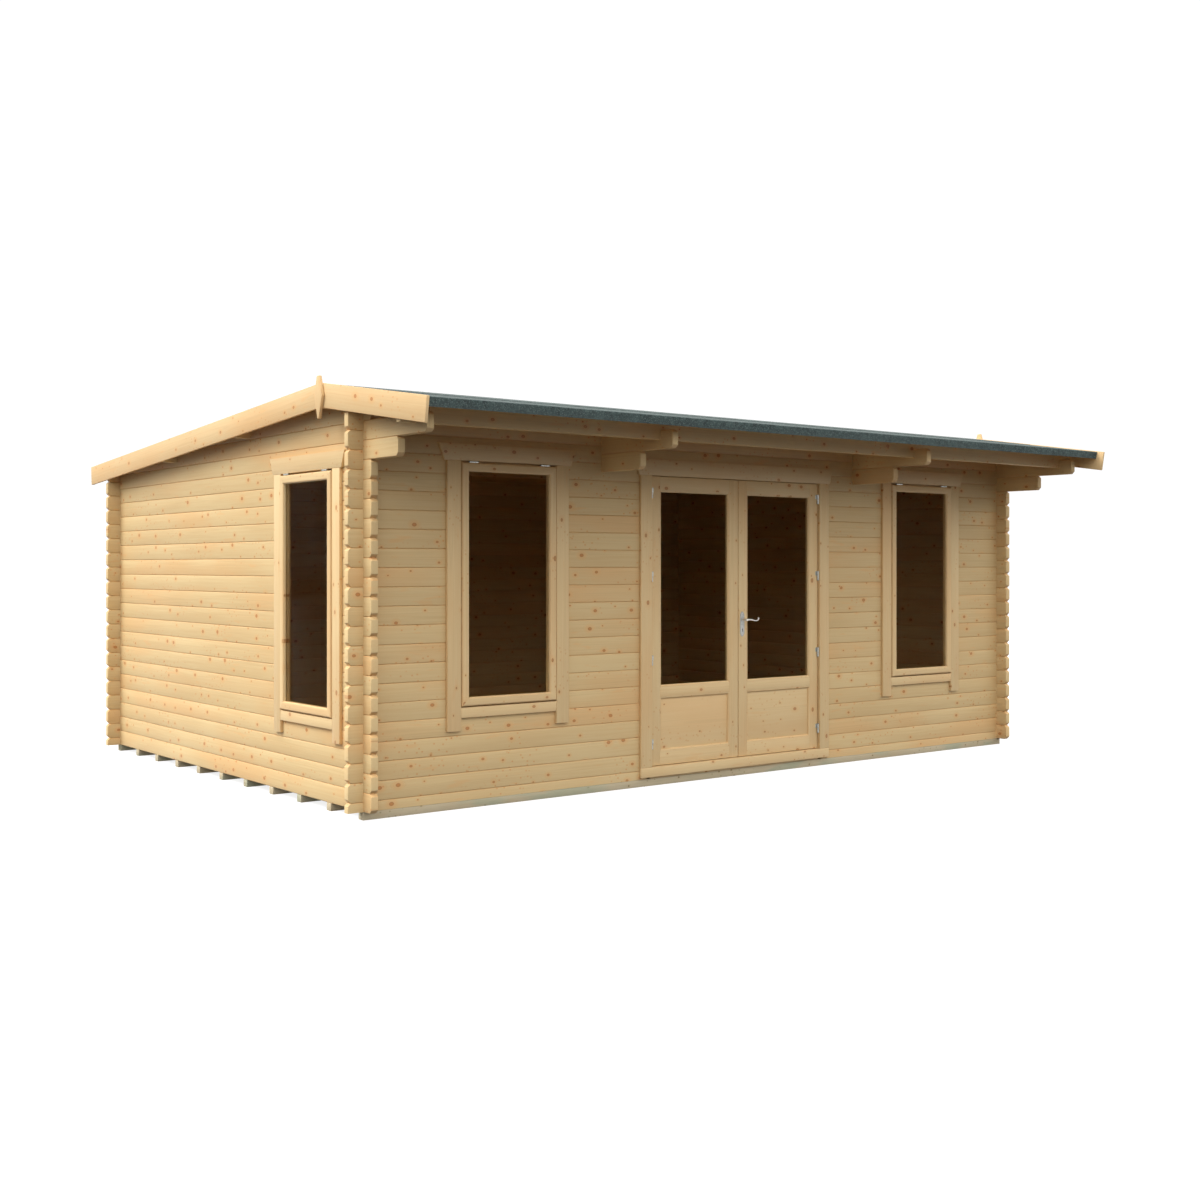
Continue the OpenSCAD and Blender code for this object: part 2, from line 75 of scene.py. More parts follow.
# Roof
RIDGE_Y = Y0 + 0.302
RIDGE_Z = ZB + 2.48
FRONT_PITCH = math.radians(8.7)
REAR_PITCH = math.radians(3.9)
EAVE_Y = Y0 - 0.85
REAR_Y = Y1 + 0.245
FELT = 0.004
FELT_DROP = 0.004
TURN_DOWN = 0.053
BOARD = 0.019
DECK_DROP = FELT_DROP + FELT
UNDER_DROP = DECK_DROP + BOARD
BARGE_WIDTH = 0.143
BARGE_THICK = 0.019
BARGE_END = 0.055
BEAM_HEIGHT = 0.122
ROOF_BOARDS = 67
LAST_LOG_GAP = 0.012
GABLE_LOG_GAP = 0.02
STRIP_WIDTH = 0.028
SHEET = 0.0032
SHEET_BEND = 0.004
SHEET_STEPS = 120
LAP = 0.05
LAP_LIFT = 0.0012
FRONT_LAPS = (0.62,)
REAR_LAPS = (1.0, 1.95, 2.9)
CLOUTS = 41
CLOUT_DROP = 0.034
FINIAL_HEIGHT = 0.25
FINIAL_HALF = 0.052
FINIAL_RISE = 0.04
BEAM_LINES = [RIDGE_Y + (Y1 - RIDGE_Y) * share for share in (0, 0.335, 0.673)]
# Canopy
LOWER_REACH = 0.402
UPPER_REACH = 0.712
ARM_OFFSET = 1.177
EAVE_BEAM_SET = 0.575
# Windows, measured from the lowest logs
WINDOW_OFFSET = 1.919
SIDE_WINDOW_SET = 0.7
SIDE_DROP = LOG / 2
SASH_HALF = 0.347
SASH_LOW = 0.567
SASH_HIGH = SASH_LOW + 1.464
STILE = 0.05
RAIL = 0.052
SASH_PROUD = 0.028
SASH_BACK = 0.02
SASH_ROUND = 0.010
STOP = 0.015
JAMB_FACE = 0.001
PANE_TUCK = 0.008
PANE_THICK = 0.004
WIN_HALF = SASH_HALF + 0.004
HOLE_HALF = WIN_HALF + 0.022
WIN_LOW = SASH_LOW - 0.007
WIN_HIGH = SASH_HIGH + 0.011
HOLE_LOW = WIN_LOW - 0.022
HOLE_HIGH = WIN_HIGH + 0.016
CASING = 0.096
CASING_THICK = 0.02
CASING_HEIGHT = 0.103
LEG_LOW = SASH_LOW - 0.147
SILL_HEIGHT = 0.062
BARREL_X = 0.262
# Doors
DOOR_HALF = 0.79
DOOR_HOLE = 0.82
DOOR_TOP = 2.005
DOOR_HEAD = DOOR_TOP + 0.005
DOOR_HOLE_TOP = DOOR_HEAD + 0.03
THRESHOLD = 0.078
LEAF = 0.04
LEAF_LOW = THRESHOLD + 0.005
LEAF_WIDTH = DOOR_HALF - 0.008
DOOR_STILE = 0.092
GLASS_LOW = 0.616
GLASS_HIGH = DOOR_TOP - 0.102
PANEL_LOW = LEAF_LOW + 0.105
PANEL_HIGH = GLASS_LOW - 0.092
DOOR_CASING = 0.095
DOOR_HEAD_BOARD = 0.11
DOOR_FRAME_DEEP = THICK + 0.016
DOOR_REBATE = LEAF + 0.006
LEAF_SIDE_GAP = 0.005
BEAD = 0.014
BEAD_EDGE = 0.0008
PANE_BEAD = 0.0138
PANE_BEAD_BACK = LEAF - 0.0183
PANEL_BEAD = 0.0121
PANEL_FACE = 0.0122
PANEL_TUCK = 0.002
HINGES = 4
HINGE = 0.068
HINGE_R = 0.007
HINGE_X = DOOR_HALF - 0.0075
HINGE_FOOT = 0.15
HINGE_DROP = 0.11
HINGE_STEP = (DOOR_TOP - THRESHOLD - HINGE_FOOT - HINGE_DROP) / (HINGES - 1)
LEVER_X = 0.037
LEVER_Z = 1.035
# Rounding of sawn edges
ROUND_FRAME = 0.001
ROUND_LOG = 0.0012
ROUND_BEAM = 0.002
ROUND_CASING = 0.0022
# Finishes
RING_SPACING = 0.0052
SHARP = math.radians(38)
# Studio
SKY_LIGHT = 1.84
GROUND_LIGHT = 0.07
BACKDROP_LIGHT = 1.05
KEY_LIGHT = 2.3
KEY_FROM = Vector((-0.66, 0.36, 0.82))
FLOOR_HALF = 40.0
VIEW_PLACE = (-6.8865, -9.4715, 1.4559)
VIEW_TURN = math.radians(-38.186)
LENS = 43.54
SHIFT_X = -0.0181
SHIFT_Y = -0.0281


# ---------------------------------------------------------------- finishes

class Amount:
    """A socket that takes part in sums; numbers and sockets mix freely."""

    def __init__(self, finish, socket):
        self.finish = finish
        self.socket = socket

    def _sum(self, operation, first, second=None):
        inputs = {0: first} if second is None else {0: first, 1: second}
        return self.finish.node("ShaderNodeMath", {"operation": operation}, inputs)

    def __add__(self, other):
        return self._sum("ADD", self, other)

    def __radd__(self, other):
        return self._sum("ADD", other, self)

    def __sub__(self, other):
        return self._sum("SUBTRACT", self, other)

    def __rsub__(self, other):
        return self._sum("SUBTRACT", other, self)

    def __mul__(self, other):
        return self._sum("MULTIPLY", self, other)

    def __rmul__(self, other):
        return self._sum("MULTIPLY", other, self)

    def __truediv__(self, other):
        return self._sum("DIVIDE", self, other)

    def __pow__(self, other):
        return self._sum("POWER", self, other)

    def __gt__(self, other):
        return self._sum("GREATER_THAN", self, other)


class Finish:
    """A material, put together node by node."""

    def __init__(self, material):
        self.material = material
        self.material.use_nodes = True
        self.tree = self.material.node_tree
        self.tree.nodes.clear()

    def node(self, kind, settings, inputs, output=0):
        """Adds a node, its settings first, then its sockets; gives the output or outputs asked for."""
        node = self.tree.nodes.new(kind)
        for key, setting in settings.items():
            setattr(node, key, setting)
        for key, value in inputs.items():
            if isinstance(value, Amount):
                self.tree.links.new(value.socket, node.inputs[key])
            else:
                node.inputs[key].default_value = value
        if isinstance(output, tuple):
            return [Amount(self, node.outputs[key]) for key in output]
        return Amount(self, node.outputs[output]) if node.outputs else None

    def attribute(self, name, output):
        return self.node("ShaderNodeAttribute", {"attribute_name": name}, {}, output)

    def stretched(self, vector, scale):
        return self.node("ShaderNodeVectorMath", {"operation": "MULTIPLY"}, {0: vector, 1: scale})

    def noise(self, vector, scale, detail=2.0, rough=0.5):
        return self.node("ShaderNodeTexNoise", {},
                         {"Vector": vector, "Scale": scale, "Detail": detail, "Roughness": rough})

    def dots(self, vector, output):
        """Scattered dots on the face of the wood: distance to the nearest, or its own random colour."""
        return self.node("ShaderNodeTexVoronoi", {"voronoi_dimensions": "2D"},
                         {"Vector": vector, "Scale": 1.0}, output)

    def step(self, value, low, high, to_low=0.0, to_high=1.0):
        return self.node("ShaderNodeMapRange", {"interpolation_type": "SMOOTHSTEP"},
                         {"Value": value, "From Min": low, "From Max": high,
                          "To Min": to_low, "To Max": to_high})

    def mix(self, share, first, second, blend="MIX"):
        return self.node("ShaderNodeMix", {"data_type": "RGBA", "blend_type": blend, "clamp_factor": True},
                         {0: share, 6: first, 7: second}, 2)

    def either(self, share, first, second):
        return self.node("ShaderNodeMixShader", {}, {0: share, 1: first, 2: second})

    def finish(self, shader, kind="ShaderNodeOutputMaterial"):
        self.node(kind, {}, {"Surface": shader})
        return self.material

    def surface(self, settings):
        return self.finish(self.node("ShaderNodeBsdfPrincipled", {}, settings))

    def bumped(self, height, strength, distance):
        return self.node("ShaderNodeBump", {},
                         {"Height": height, "Strength": strength, "Distance": distance})


def new_finish(name):
    return Finish(bpy.data.materials.new(name))


def colour(red, green, blue):
    return (red, green, blue, 1.0)


def toned(tint, share):
    """The same tint, darker where share is under 1 and paler where it is over 1."""
    return colour(*[min(1.0, share * part) for part in tint[:3]])


def pine(name, pale, warm, heart, knot_colour, knots=1.0, gloss=0.5, stain=None):
    """Planed softwood: slow streaks, fine year rings round a pith, knots, end grain, and painted shade on
    groove and chamfer faces.
    """
    f = new_finish(name)
    grain = f.attribute("grain", "Vector")
    tone = f.attribute("tone", "Fac")
    end = f.attribute("end", "Fac")
    # groove marks faces that slope across the grain; they get painted shade below
    groove = f.attribute("groove", "Fac")
    across, through = f.node("ShaderNodeSeparateXYZ", {}, {0: grain}, ("Y", "Z"))
    # Knots, which run through the wood from face to face
    wander = f.noise(f.stretched(grain, (7.0, 7.0, 2.0)), 1.0, 1.0)
    away, chance = f.dots(f.stretched(grain, (6.4, 9.0, 0.0)), ("Distance", "Color"))
    pick, size = f.node("ShaderNodeSeparateColor", {}, {0: chance}, (0, 1))
    present = pick > 1.0 - 0.5 * knots
    radius = 0.04 + 0.075 * size * size
    near = away + 0.03 * (wander - 0.5)
    core = f.step(near / radius, 0.75, 1.1, 1.0, 0.0) * present
    rim = f.step(near / radius, 0.45, 0.95) * core
    halo = f.step(near / radius, 0.9, 3.6, 1.0, 0.0) * present
    # Pin knots in loose clusters, and resin blotches
    pins = f.dots(f.stretched(grain, (17.0, 21.0, 0.0)), "Distance")
    crowd = f.noise(f.stretched(grain, (1.9, 4.0, 0.0)), 1.0, 1.0)
    pin = f.step(pins, 0.05, 0.15, 1.0, 0.0) * f.step(crowd, 0.53, 0.6)
    resin = f.step(f.noise(f.stretched(grain, (4.5, 24.0, 3.0)), 1.0, 2.0), 0.62, 0.74)
    # Year rings about a pith that lies off the board, bent round the knots
    drift = f.noise(f.stretched(grain, (0.7, 5.0, 5.0)), 1.0, 2.0)
    distance = (across * across + through * through) ** 0.5
    ring_line = distance + 0.02 * drift - 0.011 * halo
    wave = f.node("ShaderNodeMath", {"operation": "SINE"}, {0: ring_line * (2 * math.pi / RING_SPACING)})
    rings = (wave * 0.5 + 0.5) ** 3.0
    streaks = f.noise(f.stretched(grain, (2.4, 75.0, 75.0)), 1.0, 2.0)
    slow = 0.6 * f.noise(f.stretched(grain, (0.9, 2.2, 2.2)), 1.0, 1.0) + 0.4 * streaks
    hue = f.noise(f.stretched(grain, (0.75, 2.6, 2.6)), 1.0, 2.0) + 0.07 * tone
    fibre = f.noise(f.stretched(grain, (14.0, 620.0, 620.0)), 1.0, 2.0, 0.6)
    base = f.mix(f.step(slow, 0.34, 0.66, 0.0, 0.7), pale, warm)
    base = f.mix(f.step(hue, 0.48, 0.68, 0.0, 0.5), base, heart)
    base = f.mix(rings * (1.0 - 0.5 * end) * 0.14, base, toned(warm, 0.72))
    base = f.mix(fibre * 0.12, base, toned(warm, 0.8))
    base = f.mix(halo * 0.55 + resin * 0.4, base, heart)
    base = f.mix(pin * (0.6 * knots), base, toned(knot_colour, 1.25))
    base = f.mix(core * 0.8, base, knot_colour)
    base = f.mix(rim * 0.4, base, toned(knot_colour, 0.55))
    base = f.mix(end * 0.35, base, toned(pale, 1.08))
    # Painted shade: faces in the log grooves, on chamfers and on rounded edges are mixed darker and warmer
    base = f.mix(groove * (1.0 - end) * 0.4, base, toned(heart, 0.92))
    if stain:
        patch = f.noise(f.stretched(grain, (2.2, 9.0, 9.0)), 1.0, 3.0)
        base = f.mix(f.step(patch, 0.48, 0.62, 0.0, 0.75), base, stain)
    shade = 1.0 + 0.03 * tone
    grey = f.node("ShaderNodeCombineColor", {}, {0: shade, 1: shade, 2: shade})
    base = f.mix(1.0, base, grey, "MULTIPLY")
    rough = 0.62 - 0.12 * gloss + 0.1 * (fibre - 0.5) - 0.1 * core
    height = rings * 0.2 + fibre * 0.5 + core * 0.6
    return f.surface({"Base Color": base, "Roughness": rough, "Specular IOR Level": 0.35 * gloss,
                      "Normal": f.bumped(height, 0.35, 0.0006)})


def felt_finish():
    """Mineral felt: crushed grit, with the odd pale chip and slow patches."""
    f = new_finish("mineral_felt_grit")
    place = f.attribute("grain", "Vector")
    tone = f.attribute("tone", "Fac")
    coarse = f.noise(place, 48.0, 5.0, 0.8)
    grit = f.node("ShaderNodeTexVoronoi", {}, {"Vector": place, "Scale": 210.0}, "Color")
    chip = f.node("ShaderNodeSeparateColor", {}, {0: grit}, 0)
    patch = f.noise(place, 2.5, 3.0)
    base = f.mix(f.step(coarse, 0.42, 0.58), colour(0.005, 0.014, 0.015), colour(0.036, 0.066, 0.063))
    base = f.mix(f.step(chip, 0.74, 0.9, 0.0, 0.6), base, colour(0.14, 0.195, 0.185))
    base = f.mix(f.step(chip, 0.25, 0.05, 0.0, 0.6), base, colour(0.012, 0.02, 0.023))
    base = f.mix(f.step(patch, 0.4, 0.65, 0.0, 0.2) + 0.08 * tone, base, colour(0.085, 0.125, 0.12))
    return f.surface({"Base Color": base, "Roughness": 0.82 + 0.1 * (chip - 0.5),
                      "Normal": f.bumped(chip + coarse, 0.6, 0.001)})


def metal_finish(name, tint, rough, fleck):
    """Plated metal with faint brushing and dull patches."""
    f = new_finish(name)
    place = f.attribute("grain", "Vector")
    dull = f.noise(place, 90.0, 3.0)
    brush = f.noise(f.stretched(place, (40.0, 900.0, 900.0)), 1.0, 2.0)
    base = f.mix(f.step(dull, 0.35, 0.7, 0.0, fleck), tint, toned(tint, 0.62))
    return f.surface({"Base Color": base, "Metallic": 1.0,
                      "Roughness": rough + 0.14 * (dull - 0.5) + 0.08 * brush,
                      "Normal": f.bumped(brush, 0.12, 0.0002)})


def pane_finish():
    """Thin float glass: lets most light through, with a little more reflection at a slant."""
    f = new_finish("pane_glass")
    place = f.attribute("grain", "Vector")
    smear = f.noise(place, 3.0, 2.0)
    clear = f.node("ShaderNodeBsdfTransparent", {}, {"Color": colour(0.9, 0.875, 0.83)})
    shine = f.node("ShaderNodeBsdfGlossy", {},
                   {"Color": colour(0.92, 0.96, 1.0), "Roughness": 0.02 + 0.05 * smear})
    glint = f.node("ShaderNodeFresnel", {}, {"IOR": 1.03})
    return f.finish(f.either(glint, clear, shine))


PALE = colour(0.76, 0.575, 0.305)
WARM = colour(0.69, 0.48, 0.235)
HEART = colour(0.77, 0.45, 0.195)
KNOT = colour(0.53, 0.21, 0.065)

LOGS = pine("log_pine", PALE, WARM, HEART, KNOT)
JOINERY = pine("joinery_pine", colour(0.80, 0.60, 0.325), colour(0.75, 0.525, 0.265),
               colour(0.76, 0.48, 0.225), colour(0.5, 0.21, 0.07), knots=0.7, gloss=0.8)
BOARDS = pine("board_spruce", PALE, colour(0.70, 0.47, 0.235), HEART, KNOT, knots=0.8, gloss=0.4)
PLANKS = pine("bargeboard_pine", colour(0.77, 0.56, 0.30), colour(0.71, 0.47, 0.235), HEART, KNOT,
              knots=0.9)
TREATED = pine("treated_pine", colour(0.62, 0.53, 0.37), colour(0.52, 0.44, 0.29),
               colour(0.55, 0.43, 0.27), colour(0.2, 0.15, 0.07), knots=0.8, gloss=0.2,
               stain=colour(0.44, 0.45, 0.32))
GRIT = felt_finish()
ZINC = metal_finish("zinc_plate", colour(0.44, 0.45, 0.43), 0.4, 0.5)
SATIN = metal_finish("satin_handle", colour(0.62, 0.61, 0.58), 0.3, 0.3)
PLATE = metal_finish("brushed_plate", colour(0.4, 0.4, 0.38), 0.42, 0.5)
PANE = pane_finish()
# Near-black finish for the keyhole: painted shade where the hole would be
KEYHOLE_SHADE = metal_finish("keyhole_painted_shade", colour(0.02, 0.02, 0.02), 0.7, 0.5)


# ---------------------------------------------------------------- workshop

def add_to_scene(name, data):
    made = bpy.data.objects.new(name, data)
    bpy.context.scene.collection.objects.link(made)
    return made


class Piece:
    """One piece of the cabin, made of separate lengths that are added to it."""

    def __init__(self, name, nodes, finish, slot, body="cabin"):
        self.name = name
        self.nodes = nodes
        self.finish = finish
        self.slot = slot
        self.body = body
        self.place = Matrix.Identity(4)
        self.points = []
        self.faces = []
        self.grain = []
        self.tone = []
        self.end = []
        self.groove = []

    def add(self, bm, axes, shift, tone):
        """Adds one length; axes run along, across and through its grain."""
        bmesh.ops.recalc_face_normals(bm, faces=bm.faces[:])
        first = len(self.points)
        bm.verts.index_update()
        flip = self.place.determinant() < 0
        for vert in bm.verts:
            self.points.append(self.place @ vert.co)
            self.grain.append([vert.co.dot(axis) + shift[i] for i, axis in enumerate(axes)])
            self.tone.append(tone)
        for face in bm.faces:
            corners = [first + vert.index for vert in face.verts]
            self.faces.append(corners[::-1] if flip else corners)
            self.end.append(1.0 if abs(face.normal.dot(axes[0])) > 0.8 else 0.0)
            # Faces that slope across the grain (groove sides, chamfers, rounded edges) are marked here for
            # the painted shade the wood finishes put on them
            self.groove.append(1.0 if 0.3 < abs(face.normal.dot(axes[1])) < 0.95 else 0.0)
        bm.free()

    def done(self):
        """Makes the mesh of all the lengths and fixes it to its body."""
        mesh = bpy.data.meshes.new(self.name)
        mesh.from_pydata([tuple(point) for point in self.points], [], self.faces)
        grain = mesh.attributes.new("grain", "FLOAT_VECTOR", "POINT")
        grain.data.foreach_set("vector", [value for point in self.grain for value in point])
        mesh.attributes.new("tone", "FLOAT", "POINT").data.foreach_set("value", self.tone)
        mesh.attributes.new("end", "FLOAT", "FACE").data.foreach_set("value", self.end)
        mesh.attributes.new("groove", "FLOAT", "FACE").data.foreach_set("value", self.groove)
        mesh.set_sharp_from_angle(angle=SHARP)
        mesh.materials.append(self.finish)
        made = add_to_scene(self.name, mesh)
        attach(made, self.body)
        if self.nodes:
            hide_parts(*self.nodes)


def cut(bm, point, normal):
    """Saws off what lies beyond a plane and closes the cut."""
    if not bm.faces:
        return
    bmesh.ops.bisect_plane(bm, geom=bm.verts[:] + bm.edges[:] + bm.faces[:], dist=1e-6,
                           plane_co=point, plane_no=normal, clear_outer=True)
    open_edges = [edge for edge in bm.edges if edge.is_boundary]
    if open_edges:
        bmesh.ops.holes_fill(bm, edges=open_edges, sides=0)


def ease(bm, rounding):
    """Takes the sharpness off every arris."""
    bmesh.ops.recalc_face_normals(bm, faces=bm.faces[:])
    arrises = [edge for edge in bm.edges if len(edge.link_faces) == 2 and edge.calc_face_angle() > 0.4]
    bmesh.ops.bevel(bm, geom=arrises, offset=rounding, segments=2, profile=0.5, affect="EDGES",
                    clamp_overlap=True)


def skin(bm, rings, capped=True):
    """Faces between neighbouring rings of points, with a cap on each end."""
    if capped:
        bm.faces.new(rings[0])
        bm.faces.new(rings[-1])
    for low, high in zip(rings, rings[1:]):
        for i in range(len(low)):
            bm.faces.new((low[i - 1], low[i], high[i], high[i - 1]))


def circle(bm, centre, side, other, radius, sides):
    turns = [2 * math.pi * i / sides for i in range(sides)]
    return [bm.verts.new(centre + (side * math.cos(turn) + other * math.sin(turn)) * radius)
            for turn in turns]


def draw_wood(key):
    """Random pith place and tone of one length of wood, the same for the same key."""
    chance = random.Random(key)
    pith = (chance.uniform(0, 60), chance.uniform(-0.04, 0.04),
            chance.choice((-1, 1)) * chance.uniform(0.02, 0.07))
    return pith, chance.uniform(-1, 1)


def timber(piece, outline, a, b, axes, key, shape=(), saw=(), rounding=0.0014):
    """One length of wood with the given cross-section, from a to b along the first axis."""
    along, across, through = axes
    bm = bmesh.new()
    skin(bm, [[bm.verts.new(along * place + across * u + through * v) for u, v in outline]
              for place in (a, b)])
    for point, normal in shape:
        cut(bm, point, normal)
    if rounding:
        ease(bm, rounding)
    for point, normal in saw:
        cut(bm, point, normal)
    pith, tone = draw_wood(key)
    middle_u = sum(u for u, v in outline) / len(outline)
    middle_v = sum(v for u, v in outline) / len(outline)
    piece.add(bm, axes, (pith[0], pith[1] - middle_u, pith[2] - middle_v), tone)


def bar(u0, u1, v0, v1):
    """A rectangular cross-section."""
    return [(u0, v0), (u1, v0), (u1, v1), (u0, v1)]


def arc(cu, cv, radius, start, end, steps=6):
    """Points on an arc, its angles in degrees."""
    angles = [math.radians(start + (end - start) * i / steps) for i in range(steps + 1)]
    return [(cu + radius * math.cos(angle), cv + radius * math.sin(angle)) for angle in angles]


ALONG_X = (X, Z, Y)
ALONG_Y = (Y, Z, X)
UPRIGHT = (Z, X, Y)


def turned(piece, profile, centre, axis, side, hollow=False, sides=24):
    """A turned shape: profile gives (distance along the axis, radius)."""
    other = axis.cross(side)
    bm = bmesh.new()
    rings = [circle(bm, centre + axis * distance, side, other, radius, sides)
             for distance, radius in profile]
    skin(bm, rings + rings[:1] if hollow else rings, capped=not hollow)
    piece.add(bm, (axis, side, other), (0, 0, 0), 0.0)


def swept(piece, path, radii, normal, sides=16):
    """A round bar along a path that lies square to normal."""
    bm = bmesh.new()
    rings = []
    for i, point in enumerate(path):
        ahead = path[min(i + 1, len(path) - 1)] - path[max(i - 1, 0)]
        side = ahead.normalized().cross(normal).normalized()
        rings.append(circle(bm, point, side, normal, radii[i], sides))
    skin(bm, rings)
    piece.add(bm, ALONG_X, (0, 0, 0), 0.0)


def plate(piece, outline, thick, at, rounding):
    """A flat metal shape with a rounded front edge: outline in (X, Z), front face at Y = at."""
    bm = bmesh.new()
    skin(bm, [[bm.verts.new((u, y, v)) for u, v in outline] for y in (at, at + thick)])
    bmesh.ops.recalc_face_normals(bm, faces=bm.faces[:])
    rim = [edge for edge in bm.edges if all(abs(vert.co.y - at) < 1e-6 for vert in edge.verts)]
    bmesh.ops.bevel(bm, geom=rim, offset=rounding, segments=3, profile=0.5, affect="EDGES",
                    clamp_overlap=True)
    piece.add(bm, ALONG_X, (0, 0, 0), 0.0)


# ---------------------------------------------------------------- log walls

class Slope:
    """One roof slope: along runs up or down it, across stands square to it."""

    def __init__(self, pitch, front):
        self.pitch = pitch
        rise = math.sin(pitch) if front else -math.sin(pitch)
        self.along = Vector((0, math.cos(pitch), rise))
        self.across = Vector((0, -rise, math.cos(pitch)))
        self.fall = math.tan(pitch) * (1 if front else -1)
        self.top = self.across.dot(Vector((0, RIDGE_Y, RIDGE_Z)))
        self.axes = (self.along, self.across, X)
        self.ridge_saw = (Vector((0, RIDGE_Y, 0)), Y if front else -Y)

    def height(self, y):
        """Height of the roof's top face above the ground."""
        return RIDGE_Z + (y - RIDGE_Y) * self.fall

    def reach(self, y):
        """Distance along the slope to the point above y."""
        return self.along.dot(Vector((0, y, self.height(y))))

    def level(self, drop):
        """Place across the slope of what lies a plumb drop under the top face."""
        return self.top - drop * math.cos(self.pitch)

    def under_saw(self):
        """Saw cut that keeps wood a hair under the roof boards."""
        return (Vector((0, RIDGE_Y, RIDGE_Z - UNDER_DROP - 2 * HAIR)), self.across)


FRONT = Slope(FRONT_PITCH, True)
REAR = Slope(REAR_PITCH, False)
UNDER_ROOF = [FRONT.under_saw(), REAR.under_saw()]


def roof_height(y):
    return FRONT.height(y) if y < RIDGE_Y else REAR.height(y)


def log_section(low, high, face):
    """Cross-section of one log: half a V-groove on each corner and a tongue into the log above."""
    low += HAIR
    high -= HAIR
    lip = GROOVE * 1.2
    back = face + THICK
    tongue = high + TONGUE
    return [(low, face + GROOVE), (low + lip, face), (high - lip, face), (high, face + GROOVE),
            (high, face + TONGUE_FOOT), (tongue, face + TONGUE_TIP),
            (tongue, back - TONGUE_TIP), (high, back - TONGUE_FOOT),
            (high, back - GROOVE), (high - lip, back), (low + lip, back), (low, back - GROOVE)]


def ear_cuts(along, place, outward, low, high):
    """The two chamfers on a log end that stands out."""
    end = along * place
    return [(end + Z * (low + EAR_UNDER), along * outward - Z),
            (end + Z * (high - EAR_OVER), along * outward + Z)]


def wall_log(piece, axes, face, a, b, row_low, key, ears, saw):
    """One log from a to b; ears says which of its two ends stands out past a crossing."""
    along = axes[0]
    shape = []
    if ears[0]:
        shape += ear_cuts(along, a, -1, row_low, row_low + LOG)
    if ears[1]:
        shape += ear_cuts(along, b, 1, row_low, row_low + LOG)
    timber(piece, log_section(row_low, row_low + LOG, face), a, b, axes, key, shape, saw, ROUND_LOG)


def wall_row(pick_piece, axes, face, a, b, row_low, key, holes, saw, ears=(True, True)):
    """One row of logs from a to b, broken by the openings that it meets."""
    row_high = row_low + LOG
    start = a
    met = sorted(hole for hole in holes if hole[3] > row_low and hole[2] < row_high)
    for number, (left, right, low, high) in enumerate(met):
        name = f"{key}-{number}"
        wall_log(pick_piece(start, left), axes, face, start, left, row_low, name,
                 (ears[0] and start == a, False), saw)
        for part_left, trim in ((low > row_low + SLIVER, (Z * low, Z)),
                                (high < row_high - SLIVER, (Z * high, -Z))):
            if part_left:
                wall_log(pick_piece(left, right), axes, face, left, right, row_low, name,
                         (False, False), saw + [trim])
        start = right
    wall_log(pick_piece(start, b), axes, face, start, b, row_low, f"{key}-{len(met)}",
             (ears[0] and start == a, ears[1]), saw)


def log_piece(name):
    return Piece(name + "_logs", [name], LOGS, "logs")


def window_hole(middle, drop=0.0):
    return (middle - HOLE_HALF, middle + HOLE_HALF, ZB + HOLE_LOW - drop, ZB + HOLE_HIGH - drop)


def long_rows(picker, face, key, holes):
    """The rows of a wall along X, up to the roof boards; picker(row) says which piece takes each log."""
    row = 0
    low = ZB - LOG / 2
    while low <= roof_height(face + THICK / 2) - UNDER_DROP - LAST_LOG_GAP:
        saw = list(UNDER_ROOF) if row > HEAD_ROW else []
        if row == 0:
            saw.append((Z * ZB, -Z))
        wall_row(picker(row), ALONG_X, face, X0 - EAR, X1 + EAR, low, f"{key}{row}", holes, saw)
        row += 1
        low = ZB - LOG / 2 + row * LOG


def front_wall():
    names = ["front_wall_base_left", "front_wall_base_right", "front_pier_left_corner", "front_pier_left",
             "front_pier_right", "front_pier_right_corner", "front_wall_head"]
    pieces = {name: log_piece(name) for name in names}

    def picker(row):
        def pick(a, b):
            middle = (a + b) / 2
            if row > HEAD_ROW:
                return pieces["front_wall_head"]
            side = "left" if middle < 0 else "right"
            if row <= BASE_ROWS:
                return pieces["front_wall_base_" + side]
            return pieces["front_pier_" + side + ("_corner" if abs(middle) > WINDOW_OFFSET else "")]
        return pick

    holes = [window_hole(s * WINDOW_OFFSET) for s in (-1, 1)]
    holes.append((-DOOR_HOLE, DOOR_HOLE, -1.0, ZB + DOOR_HOLE_TOP))
    long_rows(picker, Y0, "front", holes)
    for piece in pieces.values():
        piece.done()


def rear_wall():
    piece = log_piece("rear_wall")
    long_rows(lambda row: lambda a, b: piece, Y1 - THICK, "rear", [])
    piece.done()


def side_wall(side):
    """The left wall, in four pieces round its window, or the plain right wall."""
    left = side == "left"
    names = ["right_wall", "right_wall_gable"]
    if left:
        names = ["left_wall_base", "left_pier_front", "left_pier_rear", "left_wall_gable"]
    pieces = {name: log_piece(name) for name in names}
    face = X0 if left else X1 - THICK
    middle = Y0 + SIDE_WINDOW_SET
    holes = [window_hole(middle, SIDE_DROP)] if left else []
    row = 0
    while ZB + row * LOG < RIDGE_Z - UNDER_DROP - GABLE_LOG_GAP:
        def pick(a, b):
            if row >= HEAD_ROW:
                return pieces[side + "_wall_gable"]
            if not left:
                return pieces["right_wall"]
            if row < BASE_ROWS:
                return pieces["left_wall_base"]
            return pieces["left_pier_front" if (a + b) / 2 < middle else "left_pier_rear"]
        arm = row in (ARM_ROW, ARM_ROW + 1)
        saw = list(UNDER_ROOF) if row > HEAD_ROW else []
        wall_row(pick, ALONG_Y, face, Y0 if arm else Y0 - EAR, Y1 + EAR, ZB + row * LOG, f"{side}{row}",
                 holes, saw, (not arm, True))
        row += 1
    for piece in pieces.values():
        piece.done()


